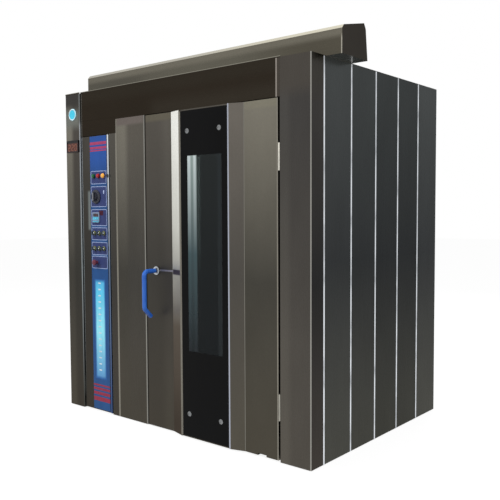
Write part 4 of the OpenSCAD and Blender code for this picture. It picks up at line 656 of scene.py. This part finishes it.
def window_glass():
    """Clear heat-resistant glass with a light smoke film: mostly see-through, a little grey."""
    material, tree, skin, spots = blank("heat_resistant_glass")
    film = streaks(tree, spots, 90.0, 200.0, "z", 3.0)
    join(tree, skin, {"Base Color": tint(tree, linear("#39403c"), film, 0.3), "Specular IOR Level": 0.2,
            "Roughness": spread(tree, film, 0.03, 0.1), "Alpha": spread(tree, film, 0.08, 0.3)})
    return material


class OVEN_OT_handle(bpy.types.Operator):
    """Finish the blue grip sleeve and put the hub's ring on the handle"""

    bl_idname = "oven.handle"
    bl_label = "Handle"

    def execute(self, context):
        blue = context.scene.oven_looks.grip_blue
        # Shrunk PVC sleeve: saturated, half gloss, a little paler where hands rub it
        dress(coated("shrunk_pvc_sleeve", blue, "#3b7ade", 0.28, 0.4, 90.0, 1.5, 0.05), "handle_sleeve")
        profile = [(21.0, -0.6), (23.5, -1.6), (24.6, -1.2), (25.6, 0.2), (24.6, 0.8), (22.0, 0.6)]
        # Spun and polished cover ring of the hub: the brightest small spot of the handle
        piece("handle_hub_ring", [turned(profile, *HUB)], "handle",
              polished_metal("polished_hub_ring", "#d6d9dc", 0.1), closed=(True, True))
        return {"FINISHED"}


class OVEN_OT_control_column(bpy.types.Operator):
    """Finish the access door, its switches and lamps, the badge and the display's bezel"""

    bl_idname = "oven.control_column"
    bl_label = "Control column"

    def execute(self, context):
        looks = context.scene.oven_looks
        lo, hi = box_mm("control_door")
        # Access door: a darker copy of the steel as painted shade, with a painted glint on its left strip
        dress(rolled_sheet("brushed_stainless_access_door", shaded(STEEL, 0.85), [
            # Painted reflection of the overlay's blue on the right edge's flank, painted highlights along its
            # right and left edges
            ({"x": (hi[0] - 22.5, hi[0] - 12)}, 0.8, shaded(BLUE_FOLD_REFLECTION, 0.85)),
            ({"x": (lo[0] + 66, lo[0] + 92), "z": (1290, 1560)}, 12, "#747a79"),
            ({"x": (hi[0] - 13, hi[0] + 2)}, 0.8, BLUE_FOLD_REFLECTION),
            ({"x": (lo[0] - 4, lo[0] + 9), "y": (-9, 20)}, 1.0, FOLD_HIGHLIGHT),
        ]), "control_door")
        # Rolled edge of the access door, polished: its line is a painted highlight with a painted reflection of
        # the overlay's blue, fading from white at the head to blue at the foot
        piece("access_edge_bead", [rail(lo[2] + 2, hi[2] - 2, hi[0] - 4, lo[1] + 2, 11, 5, "z")],
              "access_door", rolled_sheet("rolled_access_edge", BLUE_FOLD_REFLECTION),
              closed=(False, True))
        dress(printed_sheet(looks.overlay_blue), "control_overlay")
        dress(lens_material(looks), "indicator_lamps")
        # Moulded ABS housing, pale blue-grey and half matt, dark behind its keypad's slot
        dress(coated("moulded_abs_controller", "#8f9bb4", "#7e8aa6", 0.4, 0.3, patches=[
            ({"y": (1.9, 3.4), "ny": (-2, -0.5)}, 0.2, "#2a3138")]), "temp_controller")
        # Moulded phenolic: dull black that the light lifts to a dark grey, with a fine even texture
        dress(coated("moulded_black_plastic", "#32343c", "#3c3e47", 0.38, 0.2, 25.0, 1.0),
              "timer_knob", "control_lock")
        dress(coated("moulded_black_switch", "#2c3a46", "#384652", 0.35, 0.3, 20.0, 1.0),
              *("selector_%d" % k for k in range(1, 7)))
        # Moulded red polyamide: strong colour, rubbed paler on its crown
        dress(coated("moulded_red_head", "#642d3e", "#743a4a", 0.35, 0.25, 15.0, 1.0), "stop_button")
        # Enamelled disc with a pale rim, bare of any mark: glossy, with a slow drift of its cyan
        cx, cz = middle("badge")
        dress(coated("enamelled_badge", "#2cc4e4", "#48d2ee", 0.22, 0.4, 30.0, 1.5), "badge")
        rim = [(33.0, -3.7), (36.0, -4.4), (39.5, -3.9), (42.8, -2.2), (42.6, -1.8), (33.0, -3.3)]
        piece("badge_rim", [turned(rim, cx, cz, 64)], "cabinet",
              coated("enamelled_badge_rim", "#dff2f7", "#bfe6f2", 0.2, 0.4, 20.0, 1.0), closed=(True, True))
        # Moulded bezel round a dark red filter window, with a black band at its head
        lo, hi = box_mm("number_display")
        dress(coated("moulded_display_bezel", "#1c1113", "#281619", 0.25, 0.25, patches=[
            ({"y": (-7.8, -6.2), "ny": (-2, -0.5)}, 0.2, "#50281f"),
            ({"z": (hi[2] - 20, hi[2] + 9)}, 1.0, "#0b0809"),
        ]), "number_display")
        return {"FINISHED"}


def printed_sheet(blue):
    """Screen-printed polyester sheet: to the eye a strong blue under a satin film, deeper in the middle and
    lighter at the foot. The screen's dots, 0.1 mm apart, are drawn 3 mm wide."""
    material, tree, skin, spots = blank("screen_printed_polyester")
    colour = lay_over(tree, spots, up_the_sheet(tree, spots, ("#386098", "#305890", "#284878")), [
        ({"z": (1700, 2000)}, 120, blue)])
    drift = streaks(tree, spots, 70.0, 260.0, "z", 3.0)
    dots = streaks(tree, spots, 3.0, 3.0, "z", 1.0)
    join(tree, skin, {"Base Color": tint(tree, tint(tree, colour, drift, 0.12), dots, 0.05),
            "Roughness": spread(tree, drift, 0.28, 0.4), "Specular IOR Level": 0.06})
    return material


def lens_material(looks):
    """Moulded coloured lenses in black collars: to the eye deep colours with a fine cell pattern (1 mm,
    drawn 3 mm), the right one lit."""
    material, tree, skin, spots = blank("moulded_lamp_lens")
    lo, hi = box_mm("indicator_lamps")
    third = (hi[0] - lo[0]) / 3
    first = region(tree, spots, {"x": (lo[0] - 9, lo[0] + third)}, 0.5)
    last = region(tree, spots, {"x": (hi[0] - third, hi[0] + 9)}, 0.5)
    collar = region(tree, spots, {"y": (4.2, 60)}, 0.2)
    colour = linear(looks.lamp_red)
    for mask, over in ((first, looks.lamp_green), (last, looks.lamp_amber), (collar, "#141416")):
        colour = add(tree, "Mix", {0: mask, 6: colour, 7: linear(over)}, **MIX)
    cells = streaks(tree, spots, 3.0, 3.0, "z", 1.0)
    colour = tint(tree, colour, cells, 0.15)
    lit = add(tree, "Math", {0: 1.0, 1: collar}, operation="SUBTRACT")
    lit = add(tree, "Math", {0: add(tree, "Math", {0: last, 1: 0.25}, **TIMES),
            1: lit}, **TIMES)
    join(tree, skin, {"Base Color": colour, "Roughness": spread(tree, cells, 0.12, 0.3),
            "Specular IOR Level": 0.4, "Emission Color": colour, "Emission Strength": lit})
    return material


class OVEN_OT_overlay_print(bpy.types.Operator):
    """Print the stripes, the outlined fields, the light bar and its ticks on the overlay"""

    bl_idname = "oven.overlay_print"
    bl_label = "Overlay print"

    def execute(self, context):
        looks = context.scene.oven_looks
        lo, hi = box_mm("control_overlay")
        x0, x1, y = lo[0], hi[0], lo[1] - 0.05
        width, tick = looks.line_width * 1000.0, looks.tick_length * 1000.0
        stripes = [pad(x0 + 0.5, x1 - 0.5, b, t, y) for t, b in ((1900, 1880), (1867, 1850), (1844, 1835))]

        def printed(name, grids, used, closed=(False, False)):
            piece(name, grids, "access_door", used, closed)

        # Magenta screen ink, dulled by the blue under it
        printed("overlay_stripes_top", stripes, ink("screen_ink_magenta", "#a84468"))
        lower = [pad(x0 + 0.5, x1 - 0.5, b, t, y) for t, b in ((196, 184), (172, 154), (142, 120), (106, 76))]
        # Red screen ink: the lowest stripe is the widest and the least dulled
        printed("overlay_stripes_foot", lower, ink("screen_ink_red", "#a43e54"))
        fields = ((1697, 1610), (1590, 1451), (1431, 1319), (1304, 1220), (1202, 1116), (1104, 1021))
        # Blue screen ink of the fields, slightly violet against the ground
        printed("overlay_fields", [pad(x0 + 10, x0 + 172, b + 4, t - 4, y, 0.1) for t, b in fields],
                ink("screen_ink_field", "#3a4472"))
        # Pale outlines of the fields: thin, even and half matt
        outlines = [frame_line(x0 + 8.5, x0 + 173.5, b, t, y - 0.1, width) for t, b in fields]
        printed("overlay_outlines", outlines, ink("screen_ink_outline", "#a4b2d6"),
                closed=(False, True))
        printed("overlay_light_bar", [pad(x0 + 28, x0 + 146, 236, 943, y - 0.1, 0.1, 9, 9)], glow_ink())
        # Opaque white ink: plain ticks along the light bar
        printed("overlay_ticks", bars(x0 + 82, np.linspace(300, 915, 15), y - 0.35, tick, 9, 0.0),
                ink("screen_ink_white", "#e6f3fa"))
        # Pale mark beside the timer
        printed("overlay_mark", [pad(x0 + 140, x0 + 150, 1539, 1565, y - 0.3, 0.2)],
                ink("screen_ink_pale", "#b9c8ea"))
        return {"FINISHED"}


def glow_ink():
    """Light bar printed in cyan: brightest along its middle and half way up, fading into the blue. It
    glows a little too, though no lamp is behind it: painted light.
    """
    material, tree, skin, spots = blank("screen_ink_cyan")
    across, up = (add(tree, "SeparateXYZ", {0: add(tree, "UVMap", uv_map="UVMap")}, out=k)
            for k in (0, 1))
    up = add(tree, "Math", {0: 1.0, 1: up}, operation="SUBTRACT")
    core = add(tree, "ValToRGB", {0: up}, stops=[(0.0, "#6098cc"), (0.5, "#98e8f8"), (0.85, "#60c4e8"),
            (1.0, "#58b0dc")])
    mask = add(tree, "Math", {0: inside(tree, across, 0.1, 0.9, 0.09),
            1: inside(tree, up, 0.02, 0.98, 0.02)}, **TIMES)
    drift = streaks(tree, spots, 25.0, 90.0, "z", 3.0)
    colour = add(tree, "Mix", {0: mask, 6: linear("#2f5f9f"), 7: core}, **MIX)
    colour = tint(tree, colour, drift, 0.12)
    join(tree, skin, {"Base Color": colour, "Roughness": spread(tree, drift, 0.3, 0.45),
            "Specular IOR Level": 0.08, "Emission Color": colour, "Emission Strength": 0.2})
    return material


class OVEN_OT_figures(bpy.types.Operator):
    """Put the red figures on the display and the figures, keys and counter on the controller"""

    bl_idname = "oven.figures"
    bl_label = "Figures"

    def execute(self, context):
        looks = context.scene.oven_looks
        cx, cz = middle("number_display")
        # Lit segments behind a red filter: soft brownish strokes, little brighter than the filter
        piece("display_figures", digits(looks.display_figures, cx, cz - 9, -7.25, 42, 21, 6, 15), "cabinet",
              ink("lit_red_segments", "#84594a"))
        lo, hi = box_mm("temp_controller")
        cx, cz = middle("temp_controller")
        piece("controller_figures", digits(looks.controller_figures, cx, cz + 15, 2.1, 12, 8, 2.4, 5),
              "access_door", ink("lit_amber_segments", "#7a4a48", glow=0.1))
        # Moulded silicone keypad: cyan, with paler keys in two rows
        piece("controller_keypad", [pad(lo[0] + 3, hi[0] - 3, cz - 34, cz + 3, 0.9, 0.5)], "access_door",
              ink("moulded_cyan_keypad", "#5ab8d8"))
        columns, rows = np.linspace(lo[0] + 16, hi[0] - 16, 3), [cz - 25, cz - 9]
        keys = bars(np.tile(columns, 2), np.repeat(rows, 3), 0.38, 10, 6, 0.0)
        piece("controller_keys", keys, "access_door", ink("moulded_pale_keys", "#78cfe8"))
        # Dark red filter of the hour counter beside the controller
        piece("counter_window", [pad(349, 396, 1391, 1423, 8.6, 1.5)], "access_door",
              ink("dark_red_filter", "#451c2c"))
        return {"FINISHED"}


class OVEN_OT_timer_face(bpy.types.Operator):
    """Lay the tick ring and the pointer on the timer's dial"""

    bl_idname = "oven.timer_face"
    bl_label = "Timer face"

    def execute(self, context):
        lo, hi = box_mm("timer_knob")
        cx, cz = middle("timer_knob")
        r = (hi[0] - lo[0]) / 2
        front = box_mm("control_overlay")[0][1]
        face = front - 7.0
        angle = np.linspace(0, 2 * math.pi, 31)[:-1]
        long = np.where(np.arange(30) % 5 == 0, 7.0, 4.0)
        reach = r - 3.0 - long / 2
        # Grey pad-printed ink of the dial's ticks
        ticks = bars(cx + reach * np.cos(angle), cz + reach * np.sin(angle), face - 0.05, long, 1.5, angle,
                0.15)
        piece("timer_ticks", ticks, "timer", ink("dial_ink_grey", "#6a6b70"))
        # Brushed aluminium inlay on the grip: a paler bar across the dial
        piece("timer_inlay", [pad(cx - 4.5, cx + 4.5, cz - r * 0.58, cz + r * 0.58, front - 30.05, 0.6)],
              "timer", polished_metal("brushed_inlay", "#8a8d92", 0.35))
        rim = [(r * 0.55, face - 0.1), (r * 0.6, face - 1.4), (r * 0.68, face - 1.6), (r * 0.73, face - 0.1)]
        # Moulded collar round the grip: dark grey, slightly lighter than the dial
        piece("timer_collar", [turned(rim, cx, cz)], "timer",
              coated("moulded_dial_collar", "#3c3e46", "#484a52", 0.4, 0.2), closed=(False, True))
        return {"FINISHED"}


class OVEN_OT_switch_rings(bpy.types.Operator):
    """Put the yellow-green rings and the pale pointers on the selector switches"""

    bl_idname = "oven.switch_rings"
    bl_label = "Switch rings"

    def execute(self, context):
        front = box_mm("control_overlay")[0][1]
        # Moulded rings, yellow-green and half gloss, and pale caps that show as the lightest dots
        ring = coated("moulded_ring", "#aaa650", "#98a468", 0.35, 0.35, 12.0, 1.0)
        cap = coated("moulded_pointer_cap", "#f4f8f6", "#e2e8e6", 0.35, 0.35, 12.0, 1.0)
        for k in range(1, 7):
            cx, cz = middle("selector_%d" % k)
            body = "selector_knob_%d" % k
            profile = [(12.1, front - 6.1), (12.3, front - 8.2), (13.6, front - 9.0), (15.2, front - 8.0),
                    (15.3, front - 5.0), (14.9, front - 5.0)]
            piece("selector_ring_%d" % k, [turned(profile, cx, cz, 40)], body, ring,
                  closed=(False, True))
            dome = [(0.0, front - 17.9), (3.1, front - 17.4), (5.2, front - 16.1), (6.0, front - 13.9)]
            piece("selector_cap_%d" % k, [turned(dome, cx + 5.8, cz, 24)], body, cap,
                  closed=(False, True))
        return {"FINISHED"}


class OVEN_OT_inside(bpy.types.Operator):
    """Finish the chamber, the heating space, the roof gear, the switchgear and the base"""

    bl_idname = "oven.inside"
    bl_label = "Inside and roof gear"

    def execute(self, context):
        # Liner sheets take a straw tint from the heat, strongest near the ceiling
        straw = ({"z": (1500, 2100)}, 300, "#8c7f68")
        dress(rolled_sheet("heat_toned_liner", "#a09888", [straw], rough=0.35), "chamber_liner", "air_wall",
              "jamb_frame")
        # Floor plate, scuffed by the rack's wheels: dull, with rough strokes to the back
        dress(rolled_sheet("worn_floor_plate", "#5d5b57", grain="y", rough=0.42, strokes=0.12),
              "chamber_floor")
        # Sprayed enamel on the base frame: dark grey, half matt
        dress(coated("sprayed_frame_enamel", "#33373b", "#3d4145", 0.5), "base_frame")
        dress(wool("pressed_mineral_wool_walls"), "wall_insulation")
        # Heater tubes, oxidised by heat: matt brown with paler stretches
        dress(polished_metal("oxidised_heater_sheath", "#4a3b33", 0.5, "#2a2422", 0.8), "heater_bank")
        # Hammered enamel of the motors: blue-grey with a soft orange-peel
        dress(coated("hammered_motor_enamel", "#2f4358", "#384d63", 0.35, 0.4, 50.0, 4.0, 0.35), "fan_motor",
              "rack_drive")
        # Cast iron under dripping water: brown and rough, with lighter rust clouds
        dress(coated("rusted_cast_iron", "#3a2d26", "#4d3526", 0.8, 0.2, 40.0, 4.0, 0.5, 0.4),
              "steam_generator")
        # Hot-dip zinc: pale grey with spangles about 10 mm across
        dress(coated("hot_dip_zinc", "#8d9093", "#a5a8aa", 0.38, 0.4, 14.0, 5.0, 0.1, 1.0),
              "vent_stack", "vent_damper")
        # Moulded switchgear on its plate: light grey, matt
        dress(coated("moulded_switchgear", "#b9bab6", "#a9aaa8", 0.5), "switchgear_plate")
        dress(lit_tubes(), "chamber_lamp")
        dress(rolled_sheet("pressed_stainless_fan", "#7c7a74", rough=0.35), "fan_wheel")
        # Drawn stainless tube, tumbled: soft grey lines
        dress(polished_metal("drawn_stainless_tube", "#8d8f90", 0.28), "rack_frame", "rack_hanger")
        # Pressed aluminium trays, baked dark at their corners
        dress(polished_metal("baked_aluminium_tray", "#8f8d88", 0.42, "#3f372e", 0.7, "y"), "baking_trays")
        # Pressed and zinc-plated caster forks: light, with dull stretches
        dress(polished_metal("zinc_plated_caster", "#9a9ea0", 0.3), "swivel_fork_left", "swivel_fork_right")
        # Moulded phenolic wheels: near black and matt
        dress(coated("moulded_phenolic_wheel", "#18181a", "#242426", 0.6, 0.25, 20.0, 1.5, 0.2),
              *("wheel_%s_%s" % (end, side) for end in ("front", "rear") for side in ("left", "right")))
        return {"FINISHED"}


def lit_tubes():
    """Frosted lamp tubes on a white enamelled plate behind the window: they glow greenish white, dimmer to
    the foot."""
    material, tree, skin, spots = blank("frosted_lamp_tube")
    lo, hi = box_mm("chamber_lamp")
    tube = region(tree, spots, {"x": (lo[0] + 10.5, hi[0] + 5), "z": (lo[2] + 25, hi[2] - 25)}, 0.5)
    frost = streaks(tree, spots, 12.0, 60.0, "z")
    glow = add(tree, "MapRange", ends(spots["z"], 0.95, 1.55, 0.02, 2.2))
    share = add(tree, "MapRange", ends(tube, 0.0, 1.0, 0.35, 1.0))
    glow = add(tree, "Math", {0: glow, 1: share}, **TIMES)
    colour = add(tree, "Mix", {0: tube, 6: linear("#8f9290"), 7: linear("#c9e6de")}, **MIX)
    join(tree, skin, {"Base Color": tint(tree, colour, frost, 0.1),
            "Roughness": spread(tree, frost, 0.3, 0.5),
            "Emission Color": linear("#bfdfdb"), "Emission Strength": glow})
    return material


AMBIENT = 0.5  # what the plain background lights, of what the camera sees of it
FLOOR_GLOW = 0.87  # share of the floor's white that is its own
UNDER_FEET = 0.0005  # gap between the floor and the oven's feet, in metres


class OVEN_OT_stage(bpy.types.Operator):
    """Set the pale floor, the soft light and the camera of the photograph"""

    bl_idname = "oven.stage"
    bl_label = "Stage"

    def execute(self, context):
        scene = context.scene
        scene.view_settings.view_transform = "Standard"
        self.floor()
        self.world(scene)
        self.lamps()
        self.camera(scene)
        return {"FINISHED"}

    def seen(self, tree):
        """1 for camera, glossy and transmission rays, which see the plain background."""
        path = [add(tree, "LightPath", out=k) for k in (0, 3, 6)]
        rays = add(tree, "Math", {0: path[0], 1: path[1]}, operation="MAXIMUM")
        return add(tree, "Math", {0: rays, 1: path[2]}, operation="MAXIMUM")

    def floor(self):
        """Painted floor 60 m across: most of its white is its own, so that the background stays plain, and
        the rest is lit and keeps the oven's soft shadow."""
        material, tree, skin, spots = blank("painted_floor")
        speckle = add(tree, "TexNoise", {"Scale": 9.0, "Vector": spots["point"]})
        glow = add(tree, "Math", {0: self.seen(tree), 1: FLOOR_GLOW}, **TIMES)
        join(tree, skin, {"Base Color": tint(tree, (0.22, 0.22, 0.22, 1), speckle, 0.01), "Roughness": 0.9,
                "Specular IOR Level": 0.0, "Emission Color": (1, 1, 1, 1), "Emission Strength": glow})
        u, v = np.meshgrid(np.linspace(-30, 30, 3), np.linspace(30, -30, 3))
        mesh = bpy.data.meshes.new("floor")
        mesh.from_pydata(np.stack([u, v, 0 * u - UNDER_FEET], -1).reshape(-1, 3).tolist(), [],
                quads(np.arange(9).reshape(3, 3)).tolist())
        mesh.materials.append(material)
        placed("floor", mesh)

    def world(self, scene):
        world = bpy.data.worlds.new("studio")
        scene.world = world
        world.use_nodes = True
        tree = world.node_tree
        tree.nodes.clear()
        strength = add(tree, "MapRange", ends(self.seen(tree), 0.0, 1.0, AMBIENT, 1.0))
        light = add(tree, "Background", {"Color": (1, 1, 1, 1), "Strength": strength})
        add(tree, "OutputWorld", {"Surface": light})

    def lamps(self):
        """Three square panels round the oven; reflections do not show them."""
        for name, place, size, power in (("key_panel", (-2.5, -4.5, 4.5), 3.0, 190.0),
                ("side_panel", (5.0, -1.5, 3.8), 3.0, 130.0),
                ("back_panel", (-1.0, 5.0, 4.5), 3.0, 110.0)):
            light = bpy.data.lights.new(name, "AREA")
            light.shape, light.size, light.energy = "SQUARE", size, power
            made = placed(name, light)
            aim = Vector((0, 0, 0.9)) - Vector(place)
            made.matrix_world = Matrix.Translation(place) @ aim.to_track_quat("-Z", "Y").to_matrix().to_4x4()
            made.visible_glossy = False

    def camera(self, scene):
        """The photograph's camera: 39.6 degrees to the left and 3.2 degrees down, with a small roll."""
        yaw, pitch, roll = (math.radians(a) for a in (39.648, 3.163, -0.274))
        ahead = Vector((-math.sin(yaw) * math.cos(pitch), math.cos(yaw) * math.cos(pitch), -math.sin(pitch)))
        right = Vector((math.cos(yaw), math.sin(yaw), 0.0))
        up = right.cross(ahead)
        across = right * math.cos(roll) + up * math.sin(roll)
        above = up * math.cos(roll) - right * math.sin(roll)
        lens = bpy.data.cameras.new("photo_camera")
        lens.lens, lens.sensor_width = 49.803, 36.0
        lens.clip_end = 200.0
        made = placed("photo_camera", lens)
        turn = Matrix((across, above, -ahead)).transposed().to_4x4()
        made.matrix_world = Matrix.Translation((3.1657, -3.7986, 1.4106)) @ turn
        scene.camera = made


OPERATORS = (
    OVEN_OT_stage, OVEN_OT_outer_sheets, OVEN_OT_door, OVEN_OT_handle, OVEN_OT_control_column,
    OVEN_OT_overlay_print, OVEN_OT_figures, OVEN_OT_timer_face, OVEN_OT_switch_rings, OVEN_OT_inside,
)


class OVEN_PT_sidebar(bpy.types.Panel):
    """Sizes, colours and buttons of the rack oven"""

    bl_idname = "OVEN_PT_sidebar"
    bl_label = "Rack oven"
    bl_space_type = "VIEW_3D"
    bl_region_type = "UI"
    bl_category = "Oven"

    def draw(self, context):
        column = self.layout.column()
        for name in OvenLooks.__annotations__:
            column.prop(context.scene.oven_looks, name)
        for operator in OPERATORS:
            column.operator(operator.bl_idname)


CLASSES = (OvenLooks,) + OPERATORS + (OVEN_PT_sidebar,)


def register():
    for entry in CLASSES:
        bpy.utils.register_class(entry)
    bpy.types.Scene.oven_looks = bpy.props.PointerProperty(type=OvenLooks)


def unregister():
    del bpy.types.Scene.oven_looks
    for entry in reversed(CLASSES):
        bpy.utils.unregister_class(entry)


def main():
    register()
    for operator in OPERATORS:
        group, name = operator.bl_idname.split(".")
        getattr(getattr(bpy.ops, group), name)()
    bpy.context.view_layer.update()


if __name__ == "__main__":
    main()
